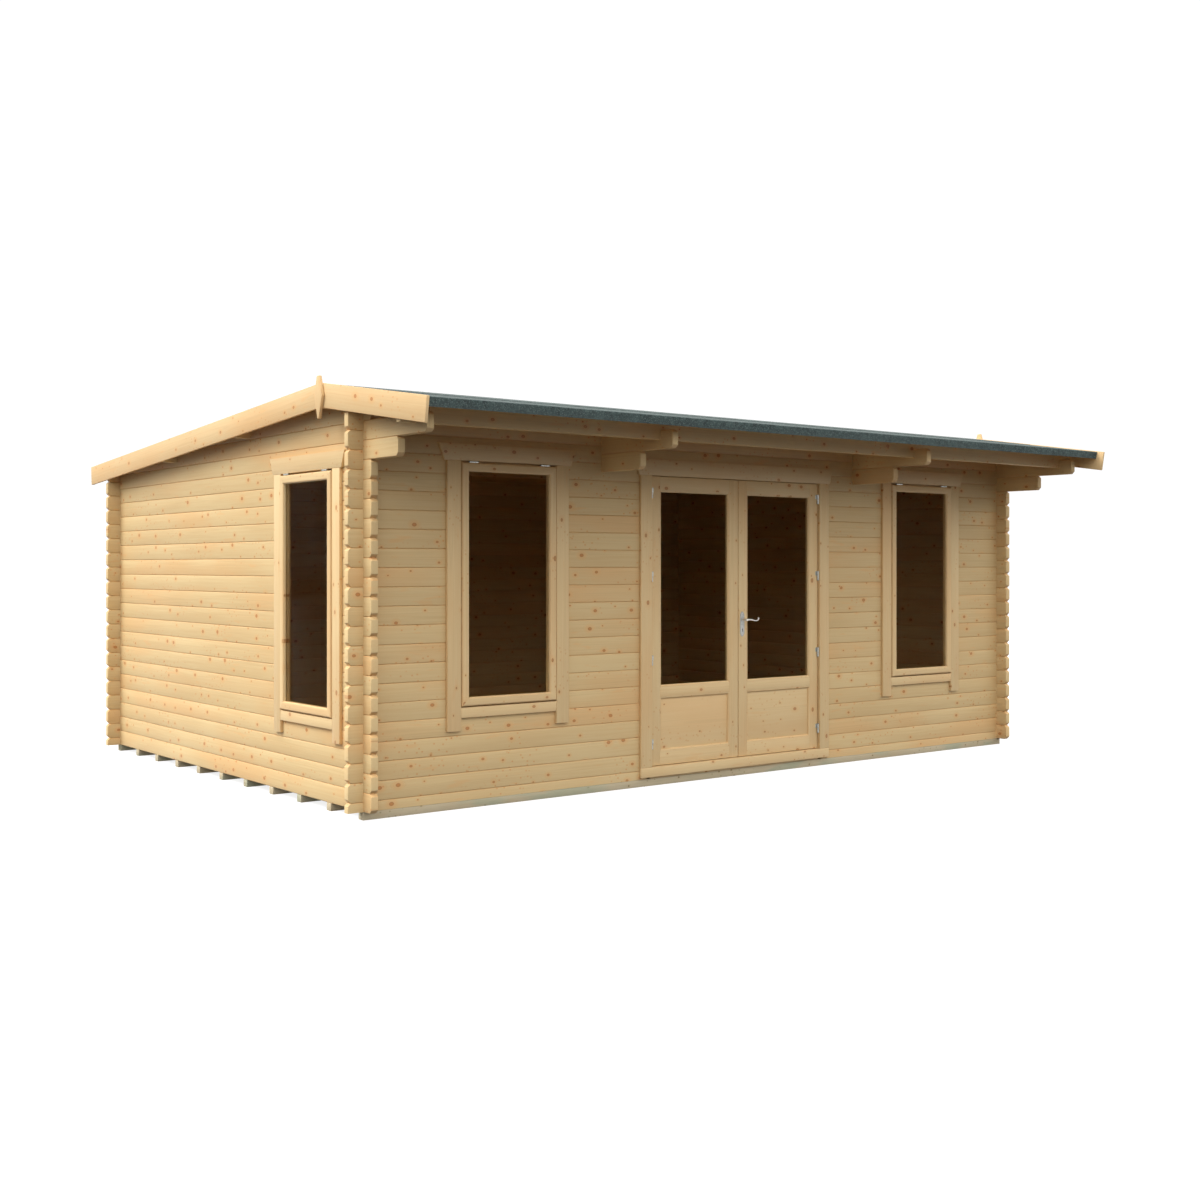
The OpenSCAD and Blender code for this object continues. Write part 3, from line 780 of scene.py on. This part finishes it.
def canopy_arms():
    piece = Piece("canopy_arm_logs", ["canopy_brackets"], LOGS, "logs")
    inside = Y0 + THICK - ARM_TUCK
    places = [(X0, "left", Y0), (-ARM_OFFSET - THICK / 2, "arm_a", inside),
              (ARM_OFFSET - THICK / 2, "arm_b", inside), (X1 - THICK, "right", Y0)]
    for face, key, back in places:
        for row, reach in ((ARM_ROW, LOWER_REACH), (ARM_ROW + 1, UPPER_REACH)):
            wall_log(piece, ALONG_Y, face, Y0 - reach, back, ZB + row * LOG, f"{key}{row}-0",
                     (True, False), [])
    piece.done()


# ---------------------------------------------------------------- base and roof

def bearers():
    piece = Piece("bearer_timbers", ["bearers"], TREATED, "treated_timber")
    for i in range(BEARERS):
        y = Y0 + i * (Y1 - Y0 - BEARER_WIDTH) / (BEARERS - 1)
        timber(piece, bar(0, ZB - FIT, y, y + BEARER_WIDTH), X0, X1, ALONG_X, f"bearer{i}",
               rounding=0.0025)
    piece.done()


def floor_boards():
    piece = Piece("floor_board_run", ["floor_boards"], BOARDS, "boards")
    edge = THICK + FLOOR_GAP
    step = (X1 - X0 - 2 * edge) / FLOOR_BOARDS
    for i in range(FLOOR_BOARDS):
        a = X0 + edge + i * step
        timber(piece, bar(a + HAIR, a + step - HAIR, ZB, ZB + BOARD), Y0 + edge, Y1 - edge,
               (Y, X, Z), f"floor{i}", rounding=ROUND_FRAME)
    piece.done()


def roof_boards(name, slope, a, b):
    piece = Piece(name + "_run", [name], BOARDS, "boards")
    step = (X1 - X0 + 2 * EAR) / ROOF_BOARDS
    low, high = slope.level(UNDER_DROP), slope.level(DECK_DROP + FIT)
    for i in range(ROOF_BOARDS):
        x = X0 - EAR + i * step
        timber(piece, bar(x + HAIR, x + step - HAIR, low, high), slope.reach(a), slope.reach(b),
               (slope.along, X, slope.across), f"{name}{i}", saw=[slope.ridge_saw], rounding=ROUND_CASING)
    piece.done()


def roof_beam(piece, y, low, key):
    """A beam along the cabin, its top sawn to the slope."""
    high = roof_height(y) - UNDER_DROP + 0.02
    end = X1 + EAR - 0.0005
    timber(piece, bar(low, high, y - THICK / 2, y + THICK / 2), -end, end, ALONG_X, key,
           saw=UNDER_ROOF, rounding=ROUND_BEAM)


def beams():
    beam_lows = [roof_height(y) - UNDER_DROP - BEAM_HEIGHT for y in BEAM_LINES]
    piece = Piece("eave_beam_timber", ["eave_beam"], LOGS, "logs")
    roof_beam(piece, Y0 - EAVE_BEAM_SET, ZB + (ARM_ROW + 2) * LOG - LOG / 2, "eave_beam")
    piece.done()
    piece = Piece("ridge_beam_timber", ["ridge_beam"], LOGS, "logs")
    roof_beam(piece, BEAM_LINES[0], beam_lows[0], "ridge_beam")
    piece.done()
    piece = Piece("rear_beam_timbers", ["rear_beams"], LOGS, "logs")
    for y, low in zip(BEAM_LINES[1:], beam_lows[1:]):
        roof_beam(piece, y, low, f"rear_beam{y:.2f}")
    piece.done()


def eave_strips():
    piece = Piece("eave_strip_battens", ["eave_strips"], BOARDS, "boards")
    deep = TURN_DOWN - FELT - BOARD
    front, rear = EAVE_Y + FELT, REAR_Y - FELT
    end = X1 + EAR - 0.001
    for slope, a, b in ((FRONT, front, front + STRIP_WIDTH), (REAR, rear - STRIP_WIDTH, rear)):
        level = slope.level(UNDER_DROP + FIT)
        timber(piece, bar(slope.reach(a), slope.reach(b), level - deep, level), -end, end,
               (X, slope.along, slope.across), f"strip{a:.1f}", rounding=0.0015)
    piece.done()


def felt_sheet(piece, slope, near, far, drop, turned_down, key):
    """One width of felt laid along the roof, its lower edge turned down where it is at the eave."""
    bm = bmesh.new()
    seed = random.Random(key).uniform(0, 50)
    s0, s1 = slope.reach(near), slope.reach(far)
    out = 1 if s1 > s0 else -1
    top = slope.level(drop)
    steps = 8
    line = [(s0 + (s1 - s0) * i / steps, top) for i in range(steps, -1, -1)]
    if turned_down:
        line[-1] = (s0 + out * SHEET_BEND, top)
        line += [(s0 + out * SHEET_BEND * (1 - math.sin(turn)), top - SHEET_BEND * (1 - math.cos(turn)))
                 for turn in (0.5, 1.0, math.pi / 2)]
        line += [(s0, top - TURN_DOWN * 0.5), (s0 + out * 0.0006, top - TURN_DOWN)]
    under = []
    for i, (s, level) in enumerate(line):
        before, after = line[max(i - 1, 0)], line[min(i + 1, len(line) - 1)]
        run = Vector((after[0] - before[0], after[1] - before[1])).normalized()
        turn = Vector((-run.y, run.x)) * out
        under.append((s + turn.x * SHEET, level + turn.y * SHEET))
    outline = line + under[::-1]
    end = X1 + EAR - 0.0008
    rings = []
    for i in range(SHEET_STEPS + 1):
        x = -end + 2 * end * i / SHEET_STEPS
        ring = []
        for s, level in outline:
            dip = 0.0007 * noise.noise(Vector((x * 3.0 + seed, s * 4.0, 0.3)))
            sway = 0.0016 * noise.noise(Vector((x * 1.7, seed, 0.7))) if level < top - 0.02 else 0.0
            ring.append(bm.verts.new(X * x + slope.along * s + slope.across * (level + dip + sway)))
        rings.append(ring)
    skin(bm, rings)
    tone = random.Random(key).uniform(-1, 1)
    piece.add(bm, (X, slope.along, slope.across), (seed, 0, 0), tone)


def felts():
    for name, slope, out, eave_y, laps in (("front_felt", FRONT, 1, EAVE_Y, FRONT_LAPS),
                                           ("rear_felt", REAR, -1, REAR_Y, REAR_LAPS)):
        piece = Piece(name + "_laps", [name], GRIT, "mineral_felt")
        lines = [eave_y] + [eave_y + out * lap for lap in laps] + [RIDGE_Y]
        for i, near in enumerate(lines[:-1]):
            far = lines[i + 1] + (LAP * out if i < len(laps) else 0)
            lift = LAP_LIFT if i == 0 else -LAP_LIFT
            felt_sheet(piece, slope, near, far, FELT_DROP + lift, i == 0, f"{name}{i}")
        # Clout nails through the turned-down edge
        edge = (slope.along * (slope.reach(eave_y) - 0.0001 * out)
                + slope.across * slope.level(FELT_DROP + CLOUT_DROP))
        last = X1 + EAR - 0.04
        for i in range(CLOUTS):
            x = -last + i * 2 * last / (CLOUTS - 1)
            turned(piece, [(-0.001, 0.0045), (0.0006, 0.0045), (0.0011, 0.003)], X * x + edge,
                   slope.along * -out, X, sides=10)
        piece.done()


def bargeboards():
    for name, slope, end_y in (("front_bargeboards", FRONT, EAVE_Y - BARGE_END),
                               ("rear_bargeboards", REAR, REAR_Y + BARGE_END)):
        piece = Piece(name + "_planks", [name], PLANKS, "joinery")
        for x in (X0 - EAR - BARGE_THICK, X1 + EAR):
            outline = bar(slope.top - BARGE_WIDTH, slope.top, x + FIT, x + BARGE_THICK - FIT)
            far = RIDGE_Y + (0.2 if slope is FRONT else -0.2)
            timber(piece, outline, slope.reach(end_y), slope.reach(far), slope.axes, f"{name}{x:.0f}",
                   saw=[slope.ridge_saw], rounding=0.003)
        piece.done()


def finials():
    piece = Piece("gable_finials", ["finials"], PLANKS, "joinery")
    waist = -0.47 * FINIAL_HEIGHT
    shape = [(-0.015, 0), (0.015, 0), (FINIAL_HALF, waist), (0.009, -FINIAL_HEIGHT),
             (-0.009, -FINIAL_HEIGHT), (-FINIAL_HALF, waist)]
    for x in (X0 - EAR - 2 * BARGE_THICK, X1 + EAR + BARGE_THICK):
        bm = bmesh.new()
        skin(bm, [[bm.verts.new((x + off, RIDGE_Y + u, RIDGE_Z + FINIAL_RISE + v)) for u, v in shape]
                  for off in (FIT, BARGE_THICK - FIT)])
        ease(bm, 0.003)
        pith, tone = draw_wood(f"finial{x:.0f}")
        piece.add(bm, (Z, Y, X), pith, tone)
    piece.done()


# ---------------------------------------------------------------- windows

def mitred(piece, left, right, low, high, profile, key, wide=1.0, tall=1.0):
    """Four members mitred round an opening; profile runs inwards from the outer edge, in (in, Y)."""
    for s in (-1, 1):
        outer = left if s < 0 else right
        saw = [(X * (outer - s * HAIR / 2) + Z * low, X * (-s * tall) - Z * wide),
               (X * (outer - s * HAIR / 2) + Z * high, X * (-s * tall) + Z * wide)]
        timber(piece, [(outer - s * wide * w, y) for w, y in profile], low, high, UPRIGHT, f"{key}stile{s}",
               saw=saw, rounding=0)
        outer = low if s < 0 else high
        saw = [(X * left + Z * (outer - s * HAIR / 2), X * -tall + Z * (-s * wide)),
               (X * right + Z * (outer - s * HAIR / 2), X * tall + Z * (-s * wide))]
        timber(piece, [(outer - s * tall * w, y) for w, y in profile], left, right, ALONG_X, f"{key}rail{s}",
               saw=saw, rounding=0)


def head_board(piece, half_low, half_high, low, high, key):
    """A casing head board whose ends lean outwards."""
    rise, spread = high - low, half_high - half_low
    shape = [(X * (s * half_low) + Z * low, X * (s * rise) - Z * spread) for s in (1, -1)]
    end = half_high + 0.01
    timber(piece, bar(low, high, -CASING_THICK, 0), -end, end, ALONG_X, key, shape=shape,
           rounding=ROUND_BEAM)


def rebated(hole, opening, stop, rebate, deep):
    """Section of a frame member with a stop behind the sash or leaf, from the hole to the opening."""
    return [(hole, JAMB_FACE), (opening, JAMB_FACE), (opening, rebate), (stop, rebate), (stop, deep),
            (hole, deep)]


def casing_leg(piece, s, half, width, low, high, key):
    edges = sorted((s * half, s * (half + width)))
    timber(piece, bar(edges[0], edges[1], -CASING_THICK, 0), low, high, UPRIGHT, f"{key}{s}",
           rounding=ROUND_CASING)


def window_frame(piece, key):
    """Jambs, head and foot with their stops, then the casing boards round them."""
    jamb = rebated(HOLE_HALF, WIN_HALF, WIN_HALF - STOP, SASH_BACK, THICK)
    for s in (-1, 1):
        timber(piece, [(s * u, v) for u, v in jamb], HOLE_LOW, HOLE_HIGH, UPRIGHT, f"{key}jamb{s}",
               rounding=ROUND_FRAME)
        casing_leg(piece, s, WIN_HALF, CASING, LEG_LOW, WIN_HIGH - HAIR, f"{key}leg")
    head = rebated(HOLE_HIGH, WIN_HIGH, WIN_HIGH - 0.022, SASH_BACK, THICK)
    foot = rebated(HOLE_LOW, WIN_LOW, WIN_LOW + 0.02, SASH_BACK, THICK)
    for name, section in (("head", head), ("foot", foot)):
        timber(piece, section, -WIN_HALF, WIN_HALF, ALONG_X, f"{key}{name}", rounding=ROUND_FRAME)
    timber(piece, bar(WIN_LOW - SILL_HEIGHT, WIN_LOW, -CASING_THICK, 0), -WIN_HALF + HAIR, WIN_HALF - HAIR,
           ALONG_X, f"{key}sill", rounding=ROUND_CASING)
    half = WIN_HALF + CASING
    head_board(piece, half + 0.018, half + 0.06, WIN_HIGH + HAIR, WIN_HIGH + CASING_HEIGHT, f"{key}board")


def sash_profile():
    """Rounded picture-frame section with a groove for the pane, from the outer edge inwards."""
    r = SASH_ROUND
    level = r - SASH_PROUD
    bottom = STILE - 0.0092
    outline = [(0, SASH_BACK), (0, level)]
    outline += arc(r, level, r, 180, 270)[1:]
    outline += arc(STILE - r, level, r, 270, 360)
    outline += [(STILE, -0.0085), (bottom, -0.0085), (bottom, -0.0035), (STILE, -0.0035),
                (STILE, SASH_BACK - 0.003), (STILE - 0.003, SASH_BACK)]
    return [(w / STILE, y) for w, y in outline]


def window_sash(piece, key):
    mitred(piece, -SASH_HALF, SASH_HALF, SASH_LOW, SASH_HIGH, sash_profile(), key, STILE, RAIL)


def pane(piece, left, right, low, high, y, key):
    """Glass whose edges are tucked into the wood round an opening."""
    timber(piece, bar(left - PANE_TUCK, right + PANE_TUCK, y, y + PANE_THICK), low - PANE_TUCK,
           high + PANE_TUCK, UPRIGHT, key, rounding=0.0006)


def window_pane(piece, key):
    half = SASH_HALF - STILE
    pane(piece, -half, half, SASH_LOW + RAIL, SASH_HIGH - RAIL, -0.008, key)


def window_hinge(piece):
    """Two hinge barrels of three knuckles each, along the head of the sash."""
    for s in (-1, 1):
        start = Vector((s * BARREL_X - 0.033, 0.006 - SASH_PROUD, SASH_HIGH + 0.0055))
        parts = [(0.0, 0.0225), (0.0232, 0.0428), (0.0435, 0.062)]
        for a, b in parts:
            turned(piece, [(a, 0.0045), (a + 0.0008, 0.0055), (b - 0.0008, 0.0055), (b, 0.0045)],
                   start, X, Z)
        turned(piece, [(-0.001, 0.0028), (0.0655, 0.0028), (0.066, 0.0022)], start, X, Z, sides=14)


FRONT_PLACES = [(Matrix.Translation((s * WINDOW_OFFSET, Y0, ZB)), f"window{s}") for s in (-1, 1)]
SIDE_PLACES = [(Matrix.Translation((X0, Y0 + SIDE_WINDOW_SET, ZB - SIDE_DROP))
                @ Matrix.Rotation(-math.pi / 2, 4, "Z"), "side_window")]


def windows():
    for name, node, finish, slot, places, work in (
            ("front_window_casings", "front_window_frames", JOINERY, "joinery", FRONT_PLACES, window_frame),
            ("side_window_casing", "side_window_frame", JOINERY, "joinery", SIDE_PLACES, window_frame),
            ("front_sash_mouldings", "front_sashes", JOINERY, "joinery", FRONT_PLACES, window_sash),
            ("side_sash_moulding", "side_sash", JOINERY, "joinery", SIDE_PLACES, window_sash),
            ("front_panes", "front_window_glass", PANE, "pane", FRONT_PLACES, window_pane),
            ("side_pane", "side_window_glass", PANE, "pane", SIDE_PLACES, window_pane)):
        piece = Piece(name, [node], finish, slot)
        for place, key in places:
            piece.place = place
            work(piece, key)
        piece.done()
    barrels = Piece("window_hinge_barrels", ["window_hinges"], ZINC, "zinc")
    for place, key in FRONT_PLACES + SIDE_PLACES:
        barrels.place = place
        window_hinge(barrels)
    barrels.done()


# ---------------------------------------------------------------- doors

def door_frame():
    piece = Piece("door_casing", ["door_frame"], JOINERY, "joinery")
    piece.place = Matrix.Translation((0, Y0, ZB))
    jamb = rebated(DOOR_HOLE, DOOR_HALF, DOOR_HALF - STOP, DOOR_REBATE, DOOR_FRAME_DEEP)
    for s in (-1, 1):
        timber(piece, [(s * u, v) for u, v in jamb], 0.02, DOOR_HOLE_TOP, UPRIGHT, f"door_jamb{s}",
               rounding=ROUND_FRAME)
        casing_leg(piece, s, DOOR_HALF, DOOR_CASING, THRESHOLD + HAIR, DOOR_HEAD - HAIR, "door_leg")
    head = rebated(DOOR_HOLE_TOP, DOOR_HEAD, DOOR_HEAD - STOP, DOOR_REBATE, DOOR_FRAME_DEEP)
    timber(piece, head, -DOOR_HALF, DOOR_HALF, ALONG_X, "door_head", rounding=ROUND_FRAME)
    foot = [(0, JAMB_FACE), (THRESHOLD, JAMB_FACE), (THRESHOLD, DOOR_FRAME_DEEP), (0.02, DOOR_FRAME_DEEP),
            (0.02, THICK), (0, THICK)]
    timber(piece, foot, -DOOR_HALF, DOOR_HALF, ALONG_X, "door_foot", rounding=ROUND_BEAM)
    outer = DOOR_HALF + DOOR_CASING
    timber(piece, bar(0.012, THRESHOLD, -CASING_THICK, 0), -outer, outer, ALONG_X, "threshold",
           rounding=0.0025)
    head_board(piece, outer + 0.012, outer + 0.042, DOOR_HEAD, DOOR_HEAD + DOOR_HEAD_BOARD, "door_board")
    piece.done()


def bead_profile(depth, from_back):
    """Quarter-round bead from the face of the leaf down to depth."""
    drop = min(depth, BEAD) - BEAD_EDGE
    curve = [(BEAD_EDGE + (BEAD - BEAD_EDGE) * math.sin(turn), drop * (1 - math.cos(turn)))
             for turn in [math.pi / 16 * step for step in range(9)]]
    outline = [(0, 0)] + curve + [(BEAD, depth), (0, depth)]
    return [(w, LEAF - y) if from_back else (w, y) for w, y in outline]


def leaf_frame(piece, key):
    """Door leaf with its hinge edge at X = 0: two stiles, three rails, beads and a sunk panel."""
    wide = LEAF_WIDTH
    inner = DOOR_STILE - BEAD
    for a, name in ((0, "hang"), (wide - inner, "meet")):
        timber(piece, bar(a, a + inner, 0, LEAF), LEAF_LOW, DOOR_TOP, UPRIGHT, f"{key}{name}",
               rounding=0.0016)
    left, right = inner + HAIR, wide - inner - HAIR
    for low, high, name in ((GLASS_HIGH + BEAD, DOOR_TOP, "top"),
                            (PANEL_HIGH + BEAD, GLASS_LOW - BEAD, "middle"),
                            (LEAF_LOW, PANEL_LOW - BEAD, "bottom")):
        timber(piece, bar(low, high, 0, LEAF), left, right, ALONG_X, f"{key}{name}", rounding=ROUND_LOG)
    for low, high, depth, from_back, name in (
            (GLASS_LOW, GLASS_HIGH, PANE_BEAD, False, "light"),
            (GLASS_LOW, GLASS_HIGH, PANE_BEAD_BACK, True, "light"),
            (PANEL_LOW, PANEL_HIGH, PANEL_BEAD, False, "panel"),
            (PANEL_LOW, PANEL_HIGH, PANEL_BEAD, True, "panel")):
        mitred(piece, left, right, low - BEAD + HAIR, high + BEAD - HAIR,
               bead_profile(depth, from_back), f"{key}{name}{from_back}")
    edge = BEAD - PANEL_TUCK
    timber(piece, bar(PANEL_LOW - edge, PANEL_HIGH + edge, PANEL_FACE, LEAF - PANEL_FACE),
           inner + PANEL_TUCK, wide - inner - PANEL_TUCK, ALONG_X, f"{key}field", rounding=ROUND_FRAME)


def leaf_place(side):
    """Where a leaf hangs; the right one is the left one mirrored."""
    edge = DOOR_HALF - LEAF_SIDE_GAP
    if side == "left":
        return Matrix.Translation((-edge, Y0, ZB))
    return Matrix.Translation((edge, Y0, ZB)) @ Matrix.Scale(-1, 4, X)


def knuckle(piece, side, upper):
    """Door hinge knuckles, the lower ones with the pin and fixed to the casing."""
    s = -1 if side == "left" else 1
    for i in range(HINGES):
        z = ZB + THRESHOLD + HINGE_FOOT + i * HINGE_STEP
        centre = Vector((s * HINGE_X, Y0 - HINGE_R - 0.001, z))
        half = HINGE / 2
        if upper:
            turned(piece, [(0.0006, 0.0032), (0.0006, HINGE_R - 0.001), (0.0016, HINGE_R),
                           (half - 0.0015, HINGE_R), (half, HINGE_R - 0.0015), (half, 0.0032)],
                   centre, Z, X, hollow=True)
            inner = s * (HINGE_X - 0.018)
            lobe = [(s * HINGE_X, z + 0.002), (inner, z + 0.002), (inner, z + half - 0.003),
                    (s * HINGE_X, z + half - 0.001)]
            plate(piece, lobe, 0.0018, Y0 - 0.002, 0.0006)
        else:
            turned(piece, [(-half, HINGE_R - 0.0015), (-half + 0.0015, HINGE_R), (-0.001, HINGE_R),
                           (0, HINGE_R - 0.001), (0, 0.003), (half - 0.0015, 0.003), (half - 0.0005, 0.002)],
                   centre, Z, X)
            edges = sorted((s * (DOOR_HALF - 0.001), s * (DOOR_HALF - 0.008)))
            strip = [(edges[0], z - half + 0.002), (edges[1], z - half + 0.002), (edges[1], z - 0.002),
                     (edges[0], z - 0.002)]
            plate(piece, strip, 0.003, Y0 - HINGE_R - 0.0025, 0.0006)


def doors():
    for side in ("left", "right"):
        body = side + "_door"
        leaf = Piece(side + "_leaf_joinery", [side + "_door"], JOINERY, "joinery", body)
        leaf.place = leaf_place(side)
        leaf_frame(leaf, side)
        leaf.done()
        glass = Piece(side + "_leaf_pane", [side + "_door_glass"], PANE, "pane", body)
        glass.place = leaf_place(side)
        pane(glass, DOOR_STILE, LEAF_WIDTH - DOOR_STILE, GLASS_LOW, GLASS_HIGH, 0.014, side + "pane")
        glass.done()
        upper = Piece(side + "_leaf_knuckles", [side + "_door_hinges"], ZINC, "zinc", body)
        knuckle(upper, side, True)
        upper.done()
    lower = Piece("casing_knuckles", ["frame_hinges"], ZINC, "zinc")
    for side in ("left", "right"):
        knuckle(lower, side, False)
    lower.done()


def lock():
    """Long plate with shaped ends, a near-black plate of painted shade for its keyhole, rose and two screws.
    """
    z = ZB + LEVER_Z
    half = 0.0198
    piece = Piece("lock_plate_shaped", ["lock_plate"], PLATE, "handle_metal", "right_door")
    top, bottom = z + 0.058, z - 0.118

    def ogee(end, up):
        lift = 1 if up else -1
        drops = ((half, 0.026), (half - 0.0015, 0.019), (half - 0.006, 0.0135), (half - 0.0085, 0.0095),
                 (half - 0.0125, 0.0035), (0.004, 0.0008))
        side = [(u, end - lift * drop) for u, drop in drops]
        full = side + [(-u, v) for u, v in side[::-1]]
        return full if up else full[::-1]

    outline = [(LEVER_X + u, v) for u, v in ogee(top, True) + ogee(bottom, False)]
    plate(piece, outline, 0.0034, Y0 - 0.0036, 0.0016)
    inset = [(LEVER_X + (u - LEVER_X) * 0.8, (v - (top + bottom) / 2) * 0.93 + (top + bottom) / 2)
             for u, v in outline]
    plate(piece, inset, 0.002, Y0 - 0.0048, 0.001)
    # The keyhole is a near-black plate laid on the lock plate: painted shade standing in for the hole
    hole = arc(0, 0, 0.0042, -60, 240, 14) + [(-0.0018, -0.018), (0.0018, -0.018)]
    key_hole = Piece("keyhole_shadow", [], KEYHOLE_SHADE, "handle_metal", "right_door")
    plate(key_hole, [(LEVER_X + u, z - 0.066 + v) for u, v in hole], 0.0012, Y0 - 0.0052, 0.0002)
    key_hole.done()
    rose = [(0.002, 0.0128), (0.0062, 0.0128), (0.0075, 0.0118), (0.0082, 0.0102), (0.0088, 0.0092)]
    turned(piece, rose, Vector((LEVER_X, Y0 - 0.003, z)), -Y, X)
    for level in (top - 0.02, bottom + 0.02):
        screw = [(0.0, 0.0036), (0.0022, 0.0036), (0.0031, 0.0026), (0.0034, 0.001)]
        turned(piece, screw, Vector((LEVER_X, Y0 - 0.004, level)), -Y, X, sides=16)
    piece.done()


def lever():
    """Scrolled lever with a collar halfway; line gives (out, up, radius in mm) along its middle."""
    z = ZB + LEVER_Z
    piece = Piece("lever_scroll", ["lever_handle"], SATIN, "handle_metal", "lever")
    spindle = [(0.0, 0.0088), (0.004, 0.0088), (0.006, 0.0074), (0.024, 0.0066), (0.029, 0.0078),
               (0.032, 0.0092), (0.0375, 0.0092), (0.0415, 0.0078), (0.0435, 0.005)]
    turned(piece, spindle, Vector((LEVER_X, Y0 - 0.0128, z)), -Y, X)
    line = [(0.0, 0.0, 7.8), (0.01, 0.0012, 7.2), (0.022, 0.0020, 6.2), (0.034, 0.0016, 5.4),
            (0.043, 0.0006, 5.0), (0.0475, 0.0, 5.8), (0.051, -0.0006, 6.9), (0.0545, -0.0012, 6.9),
            (0.058, -0.0020, 5.4),
            (0.063, -0.0034, 4.2), (0.072, -0.0058, 3.9), (0.082, -0.0072, 3.9), (0.092, -0.0068, 4.0),
            (0.1005, -0.0046, 4.2), (0.1075, -0.0008, 4.4), (0.1120, 0.0040, 4.4), (0.1130, 0.0086, 4.3),
            (0.1105, 0.0116, 4.0), (0.1070, 0.0116, 3.6), (0.1050, 0.0094, 3.0)]
    path = [Vector((LEVER_X + u, Y0 - 0.048, z + v)) for u, v, r in line]
    fine_path, fine_radii = [], []
    for i in range(len(path) - 1):
        before, here = path[max(i - 1, 0)], path[i]
        after, last = path[i + 1], path[min(i + 2, len(path) - 1)]
        for step in range(4):
            t = step / 4
            point = 0.5 * ((2 * here) + (after - before) * t
                           + (2 * before - 5 * here + 4 * after - last) * t * t
                           + (3 * here - before - 3 * after + last) * t ** 3)
            fine_path.append(point)
            fine_radii.append((line[i][2] * (1 - t) + line[i + 1][2] * t) * 0.001)
    fine_path.append(path[-1])
    fine_radii.append(line[-1][2] * 0.001)
    swept(piece, fine_path, fine_radii, Y)
    piece.done()


# ---------------------------------------------------------------- studio

def studio_sky():
    """Soft light that grows from the ground up to the sky, in front of a white backdrop."""
    world = bpy.data.worlds.new("studio")
    bpy.context.scene.world = world
    sky = Finish(world)
    place = sky.node("ShaderNodeTexCoord", {}, {}, "Generated")
    height = sky.node("ShaderNodeSeparateXYZ", {}, {0: place}, "Z")
    strength = sky.step(height, -0.08, 0.42, GROUND_LIGHT, SKY_LIGHT)
    soft = sky.node("ShaderNodeBackground", {}, {"Color": colour(1.0, 0.985, 0.96), "Strength": strength})
    seen = sky.node("ShaderNodeBackground", {}, {"Color": colour(1, 1, 1), "Strength": BACKDROP_LIGHT})
    first_sight = sky.node("ShaderNodeLightPath", {}, {}, "Is Camera Ray")
    sky.finish(sky.either(first_sight, soft, seen), "ShaderNodeOutputWorld")


def studio_lamp():
    lamp = bpy.data.lights.new("soft_key", "SUN")
    lamp.energy = KEY_LIGHT
    lamp.angle = 0.6
    lamp.color = (1.0, 0.98, 0.95)
    add_to_scene("soft_key", lamp).rotation_euler = KEY_FROM.to_track_quat("Z", "Y").to_euler()


def studio_floor():
    """White floor that throws no light back on the walls."""
    mesh = bpy.data.meshes.new("studio_floor")
    corners = [(x * FLOOR_HALF, y * FLOOR_HALF, 0) for x, y in ((-1, -1), (1, -1), (1, 1), (-1, 1))]
    mesh.from_pydata(corners, [], [(0, 1, 2, 3)])
    mesh.materials.append(new_finish("studio_white").surface(
        {"Base Color": colour(0.3, 0.3, 0.3), "Roughness": 1.0, "Specular IOR Level": 0.0,
         "Emission Color": colour(1, 1, 1), "Emission Strength": 0.82}))
    floor = add_to_scene("studio_floor", mesh)
    floor.visible_diffuse = False


def viewpoint():
    view = bpy.data.cameras.new("viewpoint")
    view.lens = LENS
    view.sensor_width = 36
    view.shift_x = SHIFT_X
    view.shift_y = SHIFT_Y
    camera = add_to_scene("viewpoint", view)
    camera.location = VIEW_PLACE
    camera.rotation_euler = (math.pi / 2, 0, VIEW_TURN)
    bpy.context.scene.camera = camera
    bpy.context.scene.view_settings.view_transform = "Standard"


front_wall()
rear_wall()
side_wall("left")
side_wall("right")
canopy_arms()
bearers()
floor_boards()
roof_boards("front_roof_boards", FRONT, EAVE_Y + FELT, RIDGE_Y + 0.1)
roof_boards("rear_roof_boards", REAR, RIDGE_Y - 0.1, REAR_Y - FELT)
beams()
eave_strips()
felts()
bargeboards()
finials()
windows()
door_frame()
doors()
lock()
lever()
studio_sky()
studio_lamp()
studio_floor()
viewpoint()
